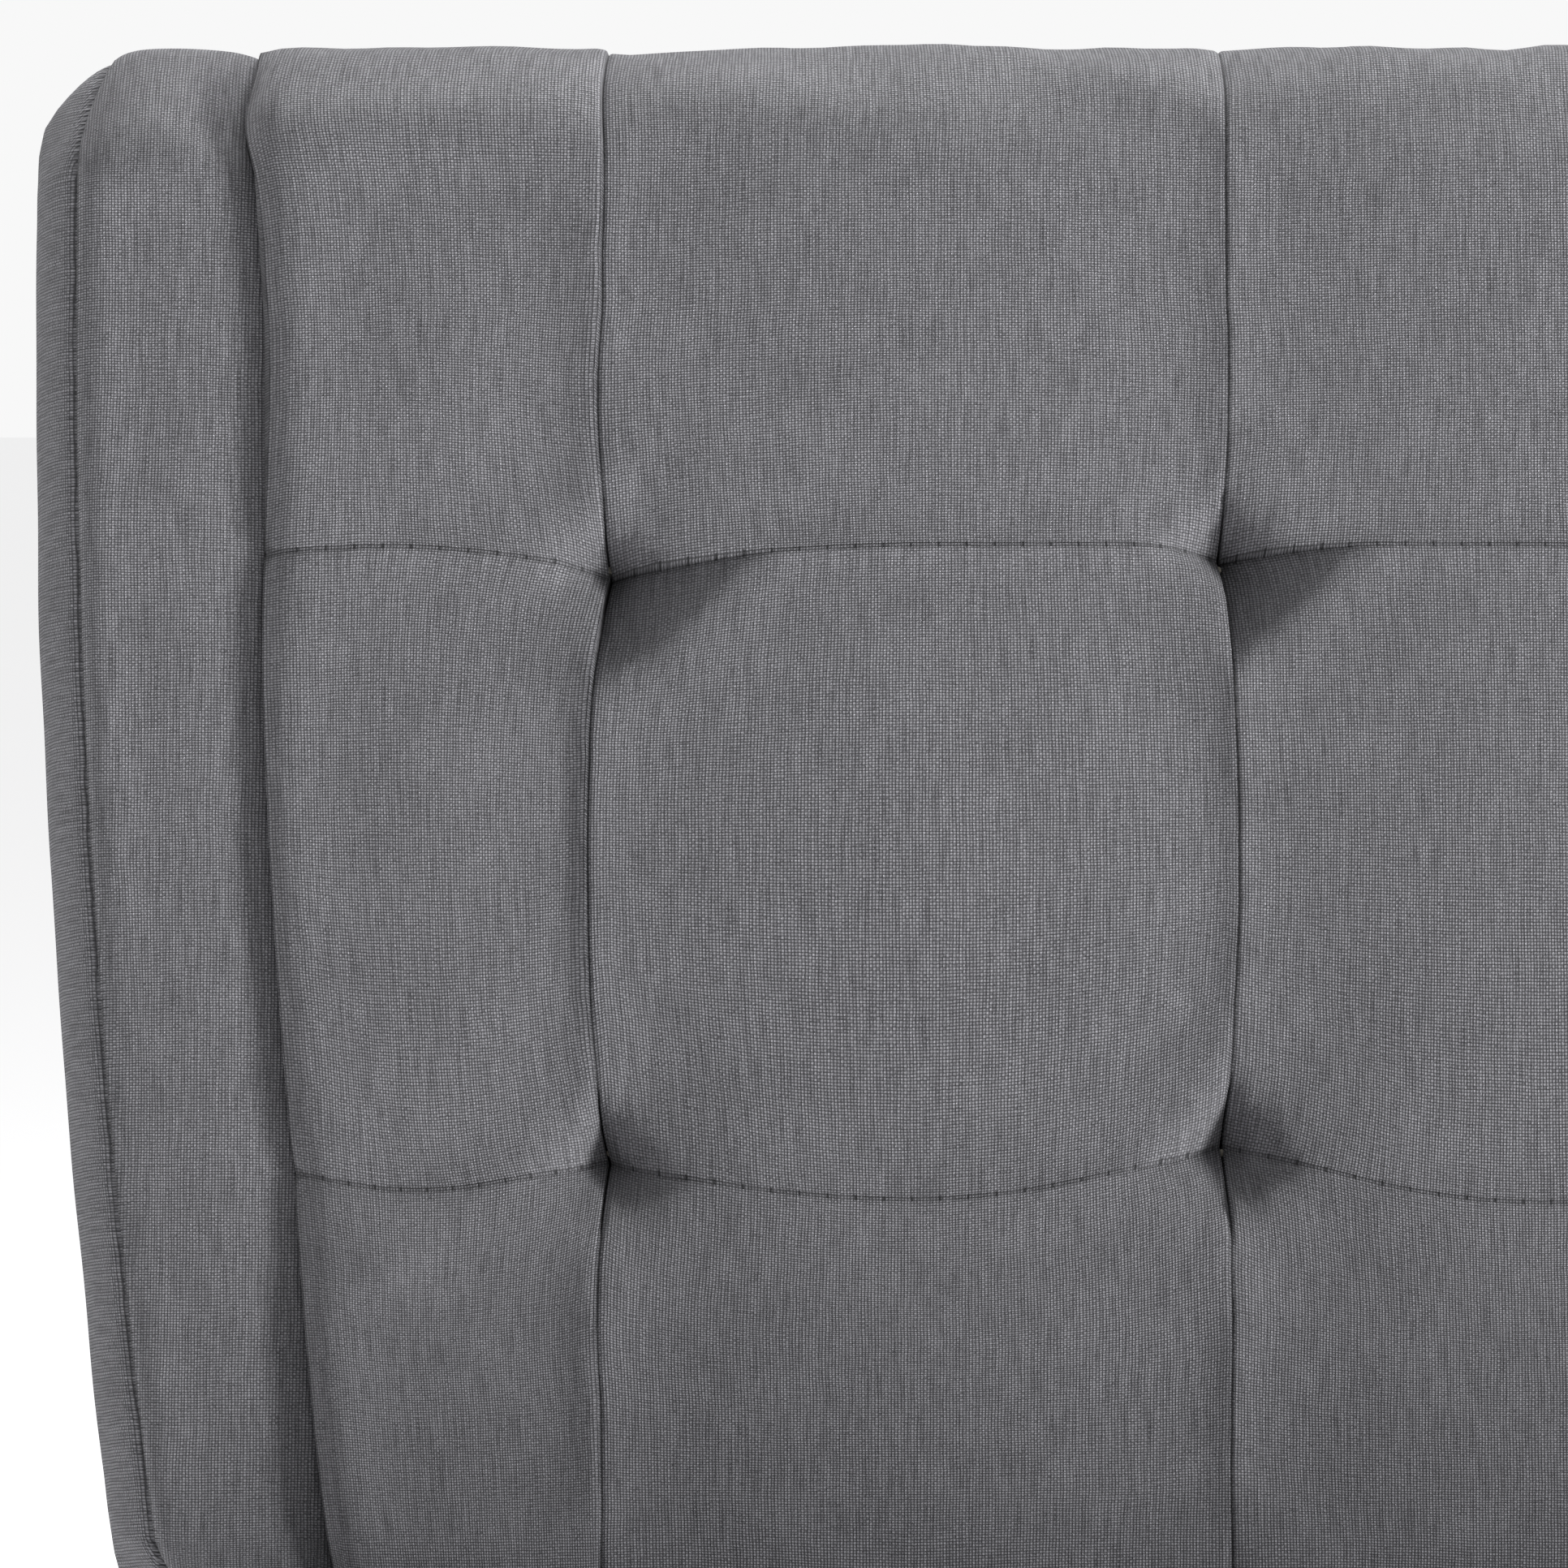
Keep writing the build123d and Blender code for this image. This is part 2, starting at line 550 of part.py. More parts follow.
# ---------------------------------------------------------------- build and write
def main():
    pieces = {}

    for name, length, thickness, place, side in (
        ("seat", seat_length, seat_thickness, on_seat, 1),
        ("back", back_length, back_thickness, on_back, -1),
    ):
        hinge_rail, far_rail, ends, stretchers = frame_boards(length, side)
        for bore in bolt_bores(side):
            stretchers[0] -= bore
            stretchers[1] -= mirror(bore, about=Plane.YZ)
        local = {
            "hinge_rail": [hinge_rail],
            "far_rail": [far_rail],
            "end_boards": ends,
            "stretchers": stretchers,
            "springs": springs(length),
            "spring_clips": spring_clips(length),
            "tuft_ties": tuft_ties(length, thickness),
            "under_cover": [under_cover(length)],
            "arm_bolts": [b for bolt in arm_bolts(side) for b in both_sides(bolt)],
            **soft_pieces(length, thickness),
        }
        for part, shapes in local.items():
            pieces[f"{name}_{part}"] = [place(s) for s in shapes]

    # The seat bolts pass the runners, the cover and the two rails of the seat frame.
    for bolt_x, bolt_y in seat_bolt_places():
        bore = rod_z(4.3, bolt_x, bolt_y, (0, seat_under + 30.0))
        for part in ("seat_under_cover", "seat_hinge_rail", "seat_far_rail"):
            pieces[part] = [shape - bore for shape in pieces[part]]

    for i, tag in enumerate(("right", "left")):
        pieces[f"seat_hinge_arm_{tag}"] = [on_seat(both_sides(arm(seat_pivot_w, seat_arm_x))[i])]
        pieces[f"back_hinge_arm_{tag}"] = [on_back(both_sides(arm(back_pivot_w, back_arm_x))[i])]
        pieces[f"hinge_pawl_{tag}"] = [on_seat(both_sides(pawl())[i])]
    pieces["hinge_ratchet_plates"] = [on_back(s) for s in both_sides(ratchet_plate())]
    pieces["hinge_pivot_bolts"] = [on_seat(s) for s in both_sides(pivot_bolt())]
    pieces["hinge_pivot_nuts"] = [on_seat(s) for s in both_sides(pivot_nut())]
    pieces["hinge_washers"] = [on_seat(s) for s in both_sides(pivot_washer())]
    pieces["hinge_pawl_pins"] = [on_seat(s) for s in both_sides(pawl_pin())]
    pieces["hinge_pawl_springs"] = [on_seat(s) for s in both_sides(pawl_spring())]

    pieces.update(base_pieces())
    pieces["seat_fixing_bolts"] = seat_bolts()
    for tag, (x, y) in leg_places().items():
        if not tag.startswith("centre"):
            pieces[f"leg_{tag}"] = [turned_leg(x, y)]
    centres = [leg_places()[t] for t in ("centre_front", "centre_rear")]
    pieces["centre_legs"] = [turned_leg(x, y) for x, y in centres]
    places = list(leg_places().values())
    pieces["leg_mount_plates"] = [mount_plate(x, y) for x, y in places]
    pieces["leg_plate_screws"] = [s for x, y in places for s in plate_screws(x, y)]
    hanger = (leg_height - 40.0, runner_low + 30.0)
    pieces["leg_hanger_bolts"] = [rod_z(4.0, x, y, hanger) for x, y in places]
    pieces["leg_glides"] = [rod_z(glide_radius, x, y, (0, glide_thickness)) for x, y in places]

    for name, shapes in pieces.items():
        write(name, *shapes)
    print(len(pieces), "nodes; hinge axis at y", round(pivot_y, 3), "z", round(pivot_z, 3))
    print("pawl axis at y", round(pivot_y - half_gap - about_pivot(pawl_pivot, seat_pivot_w)[0], 3),
          "z", round(pivot_z + pawl_pivot[1], 3))
    print("legs at x", runner_x, "y", round(leg_front_y, 3), round(leg_rear_y, 3))


main()
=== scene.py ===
"""The looks of the daybed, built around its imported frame.

Both panels get the same upholstery: a tufted cover, a side band and a gusset on each side, and a cover
under the frame. Each surface is a grid that follows the panel's outline from the underside at the hinge
edge, over the tufted face, to the underside at the far edge.

In a panel, x runs along the daybed, v from the hinge edge to the far edge, and w from the underside to
the tufted face. All lengths are in metres.
"""

import json

import bpy
import numpy as np
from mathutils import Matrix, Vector


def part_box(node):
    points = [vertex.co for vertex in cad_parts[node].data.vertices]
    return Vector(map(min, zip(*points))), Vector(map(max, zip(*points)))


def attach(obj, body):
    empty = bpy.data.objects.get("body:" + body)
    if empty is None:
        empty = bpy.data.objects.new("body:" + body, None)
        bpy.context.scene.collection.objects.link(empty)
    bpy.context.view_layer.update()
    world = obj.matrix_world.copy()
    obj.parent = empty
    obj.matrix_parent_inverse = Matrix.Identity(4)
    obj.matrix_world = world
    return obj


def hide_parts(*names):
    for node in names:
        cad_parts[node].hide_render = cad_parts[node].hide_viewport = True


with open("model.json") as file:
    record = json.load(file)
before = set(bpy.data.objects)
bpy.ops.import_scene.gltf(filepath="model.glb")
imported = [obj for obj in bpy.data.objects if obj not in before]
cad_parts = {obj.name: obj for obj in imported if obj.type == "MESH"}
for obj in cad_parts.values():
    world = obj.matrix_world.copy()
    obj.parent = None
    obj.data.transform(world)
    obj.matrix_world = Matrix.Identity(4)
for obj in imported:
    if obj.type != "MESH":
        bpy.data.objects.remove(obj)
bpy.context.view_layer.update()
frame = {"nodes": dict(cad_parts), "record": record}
hinge = next(j for j in frame["record"]["behaviour"]["joints"] if j["name"] == "back_recline")

# ------------------------------------------------------------------ dimensions, as in the CAD
HINGE_ROLL, FAR_ROLL, RIM = 0.040, 0.055, 0.010
SIDE_RADIUS, STRAIGHT_SIDE = 3.400, 0.075
TUFT_PITCH, ROW_PITCH, FAR_ROW = 0.216, 0.208, 0.190
TUFTS_EACH_SIDE = 4
RECLINE = np.radians(hinge["range_deg"][1])

# ------------------------------------------------------------------ grids of the covers
FINE_STEP = 0.0005  # between points of the outline itself
CLOTH_STEP, ACROSS_STEP = 0.0062, 0.0072  # between grid lines, along and across the section
SEAM_OFFSETS = (0.0, 0.0006, 0.0014, 0.0028, 0.0048, 0.0078, 0.0116)  # of the lines beside a seam

# The inside of a padded cover: where it turns in underneath, stands beside the frame and runs over it.
TURNED_IN, INSIDE = 0.0135, 0.0177
INSIDE_LOW, INSIDE_TOP = 0.0025, 0.0585

# ------------------------------------------------------------------ upholstery relief
BAND_WIDTH = 0.0735
BAND_LOW = 0.0050  # the band's crown lies this far under the pad's face
BAND_TILT = 0.0085  # and its outer edge this much further
EDGE_ROUND = 0.0042  # how far the band rounds off at the gusset's seam
VALLEY = 0.0150  # depth of the seam between pad and band
VALLEY_SLOPE, VALLEY_WALL = 0.0040, 0.011  # its gentle part's depth, and its steep part's width
TUFT_DEPTH, TUFT_REACH = 0.040, 0.024
COLUMN_DEPTH, ROW_DEPTH, SEAM_REACH = 0.0022, 0.0040, 0.016
CROWN = 0.0075
GROOVE, GROOVE_WIDTH = 0.0009, 0.0006
BOW_REACH, STRAY_REACH = 0.075, 0.060  # how far from its seam or tuft a shift of the cloth is felt

WARP, WEFT = 0.00110, 0.00095  # pitch of the weave's threads
STITCH, HOLE_PITCH = 0.0030, 0.0097
BAND_SEAM, ROW_SEAM, COLUMN_SEAM, GUSSET_SEAM, HEM = 1.0, 2.0, 3.0, 4.0, 5.0  # kinds of seam

SIDE_INSET, CORNER_INSET, CORNER_REACH = 0.0095, 0.0145, 0.042  # plan corners of bands and gussets

# ------------------------------------------------------------------ simulation of the padded covers
PRESSURE, EXTRA_CLOTH = 4.0, 0.015
COARSE_STEP = 0.012  # the simulated grid's spacing
LAST_FRAME = 20
PAD_CAP, BAND_CAP = 0.0070, 0.0035  # furthest that a point may move; most free points reach it
SEWN_REACH, TIED_REACH = 0.004, 0.012  # cloth this near to a sewn edge or a tuft doesn't move
SEAM_HOLD, ROLL_HOLD = 0.6, 0.7  # how firmly it is held at the squares' seams and on the rolled edges

# ------------------------------------------------------------------ camera
CAMERA_LOOK = (-0.6945, 0.235, 0.677)
CAMERA_DISTANCE, CAMERA_RISE = 3.30, np.radians(8.0)
CAMERA_LENS = 214.9


# ------------------------------------------------------------------ panels
class Panel:
    """One panel's place and size, read from its CAD nodes."""

    def __init__(self, name, body):
        self.name, self.body = name, body
        self.pivot = np.array(hinge["pos_m"])
        self.forward = -1.0 if name == "seat" else 1.0
        angle = 0.0 if name == "seat" else RECLINE
        self.turn = np.array([[np.cos(angle), -np.sin(angle)], [np.sin(angle), np.cos(angle)]])
        parts = [f"{name}_side_band_right", f"{name}_under_cover", f"{name}_tufted_pad"]
        flat = np.concatenate([self.flattened(p) for p in parts])
        low, high = flat.min(axis=0), flat.max(axis=0)
        self.v0, self.w0 = low[1], low[2]
        self.length, self.thickness = high[1] - low[1], high[2] - low[2]
        self.half = high[0]

    def flattened(self, node):
        """A node's vertices relative to the pivot, as if the panel lay flat: x, v, w."""
        mesh = frame["nodes"][node].data
        points = np.empty(len(mesh.vertices) * 3)
        mesh.vertices.foreach_get("co", points)
        points = points.reshape(-1, 3) - self.pivot
        vw = points[:, 1:] @ self.turn
        return np.stack([points[:, 0], self.forward * vw[:, 0], vw[:, 1]], axis=1)

    def place(self, x, v, w):
        """From the panel's x, v, w to the row frame."""
        along = np.stack([self.forward * (v + self.v0), w + self.w0], axis=-1)
        yz = along @ self.turn.T
        return np.stack([x + 0 * v, yz[..., 0] + self.pivot[1], yz[..., 1] + self.pivot[2]], axis=-1)

    def side(self, v):
        """Half width at v, without the rounding of the corners."""
        away = np.maximum(0.0, self.length - STRAIGHT_SIDE - v)
        return self.half - SIDE_RADIUS + np.sqrt(SIDE_RADIUS**2 - away**2)

    def band_seam(self, v):
        """Half distance between the two seams where the bands meet the tufted pad."""
        away = self.length - v
        wave = 0.0050 * bell(away - 0.125, 0.060) - 0.0045 * bell(away - 0.030, 0.022)
        return self.side(v) - BAND_WIDTH - wave + 0.0030 * bell(v - 0.05, 0.08)


def bell(t, reach):
    """1 at t = 0, falling away to both sides."""
    return np.exp(-((t / reach) ** 2))


def quarter_round(t):
    """1 at t = 0, falling to 0 at t = 1 along a quarter circle."""
    return 1 - np.sqrt(np.maximum(0, 1 - (1 - np.clip(t, 0, 1)) ** 2))


def smooth(t):
    """0 up to t = 0 and 1 from t = 1, with an S curve between."""
    t = np.clip(t, 0.0, 1.0)
    return t * t * (3 - 2 * t)


def face_share(facing_w):
    """1 where the cloth faces w, as on the tufted face, and 0 where it has rolled over the edge."""
    return smooth((facing_w - 0.15) / 0.7)


def above_underside(facing_w):
    """0 where the cloth faces down under the frame, and 1 where it faces sideways or up."""
    return smooth((facing_w + 1) / 0.9)


# ------------------------------------------------------------------ the outline that all covers follow
def outline(panel, step, seams):
    """Points (v, w), outward normals and arc length round a panel's section, denser at the seams."""
    length, thickness = panel.length, panel.thickness
    runs = [
        ("arc", (RIM, RIM), RIM, 270, 180),
        ("line", (0, RIM), (0, thickness - HINGE_ROLL)),
        ("arc", (HINGE_ROLL, thickness - HINGE_ROLL), HINGE_ROLL, 180, 90),
        ("line", (HINGE_ROLL, thickness), (length - FAR_ROLL, thickness)),
        ("arc", (length - FAR_ROLL, thickness - FAR_ROLL), FAR_ROLL, 90, 0),
        ("line", (length, thickness - FAR_ROLL), (length, RIM)),
        ("arc", (length - RIM, RIM), RIM, 0, -90),
    ]
    points, normals = [], []
    for run in runs:
        if run[0] == "line":
            a, b = np.array(run[1]), np.array(run[2])
            n = max(2, int(np.linalg.norm(b - a) / FINE_STEP))
            t = np.linspace(0, 1, n, endpoint=False)[:, None]
            points.append(a + (b - a) * t)
            along = (b - a) / np.linalg.norm(b - a)
            normals.append(np.repeat([[-along[1], along[0]]], n, axis=0))
        else:
            centre, radius, a, b = np.array(run[1]), run[2], np.radians(run[3]), np.radians(run[4])
            n = max(4, int(abs(b - a) * radius / FINE_STEP))
            t = np.linspace(a, b, n, endpoint=False)
            ring = np.stack([np.cos(t), np.sin(t)], axis=1)
            points.append(centre + radius * ring)
            normals.append(ring)
    points, normals = np.concatenate(points), np.concatenate(normals)
    arc = np.concatenate([[0], np.cumsum(np.linalg.norm(np.diff(points, axis=0), axis=1))])
    face = np.abs(normals[:, 1] - 1) < 1e-6
    stops = [arc[face][np.argmin(np.abs(points[face, 0] - v))] for v in seams]
    t = spread(0.0, arc[-1], step, stops)
    at = np.clip(np.searchsorted(arc, t), 0, len(arc) - 1)
    return points[at], normals[at], arc[at], stops


def spread(low, high, step, seams=()):
    """Positions from low to high, a step apart, and crowded symmetrically around each seam."""
    made = []
    for a, b in zip([low, *seams], [*seams, high]):
        edge_a = SEAM_OFFSETS if a in seams else (0.0,)
        edge_b = SEAM_OFFSETS if b in seams else (0.0,)
        start, end = a + edge_a[-1], b - edge_b[-1]
        inner = np.linspace(start, end, max(2, int(round((end - start) / step)) + 1))
        made += [a + o for o in edge_a[:-1]] + list(inner) + [b - o for o in edge_b[-2::-1]]
    return np.unique(np.round(made, 7))


# ------------------------------------------------------------------ meshes
def grid_faces(index, flip):
    """The four-sided faces between the rows and columns of a grid of vertex numbers."""
    a, b, c, d = index[:-1, :-1], index[:-1, 1:], index[1:, 1:], index[1:, :-1]
    return np.stack([a, d, c, b] if flip else [a, b, c, d], axis=-1).reshape(-1, 4).tolist()


def grid_piece(name, panel, points, cloth, seam, material, closed, flip):
    """A piece on an (n, m, 3) grid. closed joins the last row to the first and caps both ends."""
    n, m = points.shape[:2]
    index = np.arange(n * m).reshape(n, m)
    if closed:
        index = np.concatenate([index, index[:1]])
    faces = grid_faces(index, flip)
    if closed:
        first, last = index[:-1, 0].tolist(), index[:-1, -1].tolist()
        faces += [first[::-1], last] if flip else [first, last[::-1]]
    mesh = bpy.data.meshes.new(name)
    mesh.from_pydata(points.reshape(-1, 3).tolist(), [], faces)
    dress_mesh(mesh, cloth.reshape(-1, 2), seam.reshape(-1, 3))
    mesh.materials.append(material)
    piece = bpy.data.objects.new(name, mesh)
    bpy.context.scene.collection.objects.link(piece)
    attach(piece, panel.body)
    return piece


def dress_mesh(mesh, cloth, seam):
    """Writes the cloth's own coordinates as UVs, and what each point has to do with a seam."""
    corners = np.empty(len(mesh.loops), dtype=np.int32)
    mesh.loops.foreach_get("vertex_index", corners)
    layer = mesh.uv_layers.new(name="cloth")
    layer.data.foreach_set("uv", cloth[corners].astype(np.float32).ravel())
    mark = mesh.attributes.new("seam", "FLOAT_VECTOR", "POINT")
    mark.data.foreach_set("vector", seam.astype(np.float32).ravel())
    mesh.polygons.foreach_set("use_smooth", np.ones(len(mesh.polygons), dtype=bool))
    mesh.update()


def closed_section(panel, x, outer, cloth, seam):
    """A padded cover's grids, with rows added along its inside so that its section closes."""
    far, far_turned = panel.length - INSIDE, panel.length - TURNED_IN
    far_end = [(far_turned, INSIDE_LOW), (far, INSIDE_LOW), (far, INSIDE_TOP)]
    hinge_end = [(INSIDE, INSIDE_TOP), (INSIDE, INSIDE_LOW), (TURNED_IN, INSIDE_LOW)]
    inside = [panel.place(x[-1], v + 0 * x[-1], w + 0 * x[-1]) for v, w in far_end]
    inside += [panel.place(x[0], v + 0 * x[0], w + 0 * x[0]) for v, w in hinge_end]
    extra = len(inside)
    return (np.concatenate([outer, inside]),
            np.concatenate([cloth, np.repeat(cloth[-1:], extra, axis=0)]),
            np.concatenate([seam, np.repeat(seam[-1:], extra, axis=0)]))

def noise(x, y, seed, scale):
    """Smooth noise from a few sine waves, the same every run."""
    waves = np.random.default_rng(seed)
    total = np.zeros_like(x + y)
    for _ in range(7):
        angle, phase = waves.uniform(0, 2 * np.pi, 2)
        stretch = waves.uniform(0.6, 1.6) / scale
        total += np.sin((x * np.cos(angle) + y * np.sin(angle)) * stretch * 2 * np.pi + phase)
    return total / 7


# ------------------------------------------------------------------ cloth simulation
def coarse_lines(positions, keep):
    """Indices of grid lines at least COARSE_STEP apart, with those at keep always among them."""
    must = {0, len(positions) - 1, *(int(np.argmin(np.abs(positions - k))) for k in keep)}
    chosen = [0]
    for i in range(1, len(positions)):
        apart = positions[i] - positions[chosen[-1]] >= COARSE_STEP
        room = min((abs(positions[i] - positions[k]) for k in must if k > i), default=1.0)
        if i in must or (apart and room > 0.4 * COARSE_STEP):
            chosen.append(i)
    return np.array(chosen)


def simulated_moves(points, held, flip, cap):
    """How each point of a grid moves as the cloth swells between the held points, cap at the most."""
    n, m = held.shape
    mesh = bpy.data.meshes.new("trial")
    faces = grid_faces(np.arange(n * m).reshape(n, m), flip)
    mesh.from_pydata(points.reshape(-1, 3).tolist(), [], faces)
    trial = bpy.data.objects.new("trial", mesh)
    bpy.context.scene.collection.objects.link(trial)
    pins = trial.vertex_groups.new(name="held")
    for level in np.unique(held):
        pins.add(np.flatnonzero(held.ravel() == level).tolist(), float(level), "REPLACE")

    cloth = trial.modifiers.new("cloth", "CLOTH")
    settings = cloth.settings
    settings.quality, settings.mass = 6, 0.3
    settings.tension_stiffness = settings.compression_stiffness = 15.0
    settings.shear_stiffness, settings.bending_stiffness = 5.0, 0.5
    settings.use_pressure, settings.uniform_pressure_force = True, PRESSURE
    settings.shrink_min = -EXTRA_CLOTH
    settings.vertex_group_mass = "held"
    settings.effector_weights.gravity = 0.0
    cloth.collision_settings.use_collision = False
    cloth.point_cache.frame_start, cloth.point_cache.frame_end = 1, LAST_FRAME
    for step in range(1, LAST_FRAME + 1):
        bpy.context.scene.frame_set(step)
    shaped = trial.evaluated_get(bpy.context.evaluated_depsgraph_get()).data
    after = np.empty(n * m * 3)
    shaped.vertices.foreach_get("co", after)
    bpy.data.objects.remove(trial)
    bpy.context.scene.frame_set(1)

    move = after.reshape(n, m, 3) - points
    size = np.linalg.norm(move, axis=-1, keepdims=True)
    print(f"cloth: mean move {size.mean() * 1000:.2f} mm, largest {size.max() * 1000:.2f} mm")
    return move * np.minimum(1.0, cap / np.maximum(size, 1e-9))


def resampled(lines, coarse, fine):
    """Moves given at the coarse positions of each line, worked out at the fine ones."""
    return np.stack([np.stack([np.interp(fine, coarse, line[:, k]) for k in range(3)], axis=-1)
                     for line in lines])


def swollen(points, rows, columns, keep_rows, keep_columns, held, flip, cap):
    """The grid after its cloth simulation, which runs on a coarser grid and is spread to every point."""
    i, j = coarse_lines(rows, keep_rows), coarse_lines(columns, keep_columns)
    move = simulated_moves(points[np.ix_(i, j)], held[np.ix_(i, j)], flip, cap)
    wide = resampled(move, columns[j], columns)
    full = resampled(wide.transpose(1, 0, 2), rows[i], rows).transpose(1, 0, 2)
    # Three passes calm the moves, and less so where the cloth is held.
    calming = np.minimum(1.0, (1.0 - held)[..., None] + 0.3)
    for _ in range(3):
        calm = full.copy()
        calm[1:-1] = 0.25 * full[:-2] + 0.5 * full[1:-1] + 0.25 * full[2:]
        calm[:, 1:-1] = 0.25 * calm[:, :-2] + 0.5 * calm[:, 1:-1] + 0.25 * calm[:, 2:]
        full = full + (calm - full) * calming
    return points + full


# ------------------------------------------------------------------ tufted pad
def column_bow(k, v, rows):
    """How far the seam of column k strays sideways: nothing at a tuft, most between two."""
    side = -1.0 if k % 2 == 0 else 1.0
    if k >= TUFTS_EACH_SIDE:
        side = -side
    low, high = rows
    middle = np.clip((v - low) / (high - low), 0, 1)
    above, below = np.clip((v - high) / 0.12, 0, 1), np.clip((low - v) / 0.12, 0, 1)
    sway = (4.0 + 1.5 * np.sin(2.4 * k + 1.0)) / 1000  # 2.5 to 5.5 mm, by column
    inner = 1.5 * np.sin(np.pi * middle) ** 0.8
    outer = np.sin(np.pi * np.minimum(above, 0.75)) + 0.8 * np.sin(np.pi * np.minimum(below, 0.75))
    return side * sway * (inner + 0.8 * outer)


def row_bow(r, x):
    """How far the seam of row r strays along v between tufts: away from the middle squares."""
    away, away_end = (0.0040, 0.0035) if r == 1 else (-0.0200, -0.0150)
    cell = np.floor(x / TUFT_PITCH + 0.5)
    inside = np.sin(np.pi * ((x / TUFT_PITCH + 0.5) % 1.0)) ** 0.8 * (1 + 0.15 * np.sin(3.1 * cell))
    beyond = (np.abs(x) - (TUFTS_EACH_SIDE - 0.5) * TUFT_PITCH) / 0.118
    outside = np.sin(np.pi * 0.85 * np.clip(beyond, 0, 1))
    return np.where(beyond > 0, away_end * outside, away * inside)


def tuft_stray(k, r):
    """How far a hand-tied tuft sits along v from its row: the outermost one nearer the hinge."""
    from_end = min(k, 2 * TUFTS_EACH_SIDE - 1 - k)
    return {0: -0.0030, 1: 0.0030}.get(from_end, 0.0012 * np.sin(2.7 * k + r))


class PadGrid:
    """The tufted pad's grid before it is shaped: x across, t along the section, and its seams."""

    def __init__(self, panel):
        self.rows = [panel.length - FAR_ROW - ROW_PITCH, panel.length - FAR_ROW]
        section, normal, self.arc, self.row_arcs = outline(panel, CLOTH_STEP, self.rows)
        self.columns = [(k + 0.5) * TUFT_PITCH for k in range(-TUFTS_EACH_SIDE, TUFTS_EACH_SIDE)]
        self.half = panel.band_seam(panel.length / 2)
        self.x_lines = spread(-self.half, self.half, ACROSS_STEP, self.columns)
        self.x = np.repeat(self.x_lines[None, :], len(self.arc), axis=0)
        self.t = self.arc[:, None] + 0 * self.x
        self.v = section[:, :1] + 0 * self.x
        self.on_face = face_share(normal[:, 1:])
        self.hinge_side = normal[:, :1] + 0 * self.x < -0.5
        # Distances to the nearest seams between squares, in the cloth.
        self.to_column = np.min([np.abs(self.x - c) for c in self.columns], axis=0)
        self.to_row = np.min([np.abs(self.t - s) for s in self.row_arcs], axis=0)

    def bowed(self, edge):
        """Where the points lie across the panel, and their shift along the section, as the seams bow."""
        # The outer columns stretch to the real band seam at edge, whose place changes with v.
        outermost = self.columns[-1]
        beyond = np.maximum(0, np.abs(self.x) - outermost) / (self.half - outermost)
        x = np.sign(self.x) * (np.minimum(np.abs(self.x), outermost) + beyond * (edge - outermost))
        for k, column in enumerate(self.columns):
            near = bell(self.x - column, BOW_REACH)
            x = x + near * column_bow(k, self.v, self.rows) * (0.35 + 0.65 * self.on_face)
        shift = np.zeros_like(x)
        for r, row_arc in enumerate(self.row_arcs):
            near = bell(self.t - row_arc, BOW_REACH)
            shift = shift + near * row_bow(r, x)
            for k, column in enumerate(self.columns):
                shift = shift + near * bell(self.x - column, STRAY_REACH) * tuft_stray(k, r)
        return x, shift

    def pins(self, to_edge):
        """How firmly the cloth is held: 1 where it can't move, and 0 where it is free.

        It is sewn to the bands, stapled under the frame, tied down at the tufts and half held by the
        other seams. The hinge side stays as drawn, where the two panels face each other.
        """
        places = [(c, s) for c in self.columns for s in self.row_arcs]
        to_tuft = np.min([np.hypot(self.x - c, self.t - s) for c, s in places], axis=0)
        held = np.where(np.minimum(self.to_column, self.to_row) < 0.001, SEAM_HOLD, 0.0)
        held = np.where((to_edge < SEWN_REACH) | (to_tuft < TIED_REACH), 1.0, held)
        held = np.maximum(held, ROLL_HOLD * (1 - self.on_face))
        held = np.where(self.hinge_side, 1.0, held)
        held[:2], held[-2:] = 1.0, 1.0
        return held

    def seams(self, to_edge):
        """Each point's place along its nearest seam, its distance from it, and that seam's kind."""
        on_row = self.to_row < self.to_column
        nearest = np.minimum(self.to_row, self.to_column)
        kind = np.where(to_edge < nearest, BAND_SEAM, np.where(on_row, ROW_SEAM, COLUMN_SEAM))
        along = np.where(on_row, self.x, self.t)
        return np.stack([along, np.minimum(nearest, to_edge), kind], axis=-1)


def tufted_pad(panel, material):
    grid = PadGrid(panel)
    edge = panel.band_seam(grid.v)
    x, shift = grid.bowed(edge)
    v, w, nv, nw = on_outline(panel, grid.t + shift)
    to_edge = np.abs(edge - np.abs(x))
    relief = pad_relief(grid, to_edge)
    outer = panel.place(x, v + nv * relief, w + nw * relief)
    turned = panel.forward > 0
    outer = swollen(outer, grid.arc, grid.x_lines, grid.row_arcs, grid.columns, grid.pins(to_edge),
                    turned, PAD_CAP)
    cloth = np.stack([grid.x, grid.t], axis=-1)
    points, cloth, seam = closed_section(panel, x, outer, cloth, grid.seams(to_edge))
    piece = grid_piece(f"{panel.name}_tufted_cover", panel, points, cloth, seam, material, True, turned)
    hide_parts(f"{panel.name}_tufted_pad", f"{panel.name}_foam_core")


def on_outline(panel, t):
    """v, w and the outward normal at arc length t round the plain outline."""
    points, normals, arc, _ = outline(panel, FINE_STEP, [])
    v, w = np.interp(t, arc, points[:, 0]), np.interp(t, arc, points[:, 1])
    nv, nw = np.interp(t, arc, normals[:, 0]), np.interp(t, arc, normals[:, 1])
    size = np.hypot(nv, nw)
    return v, w, nv / size, nw / size


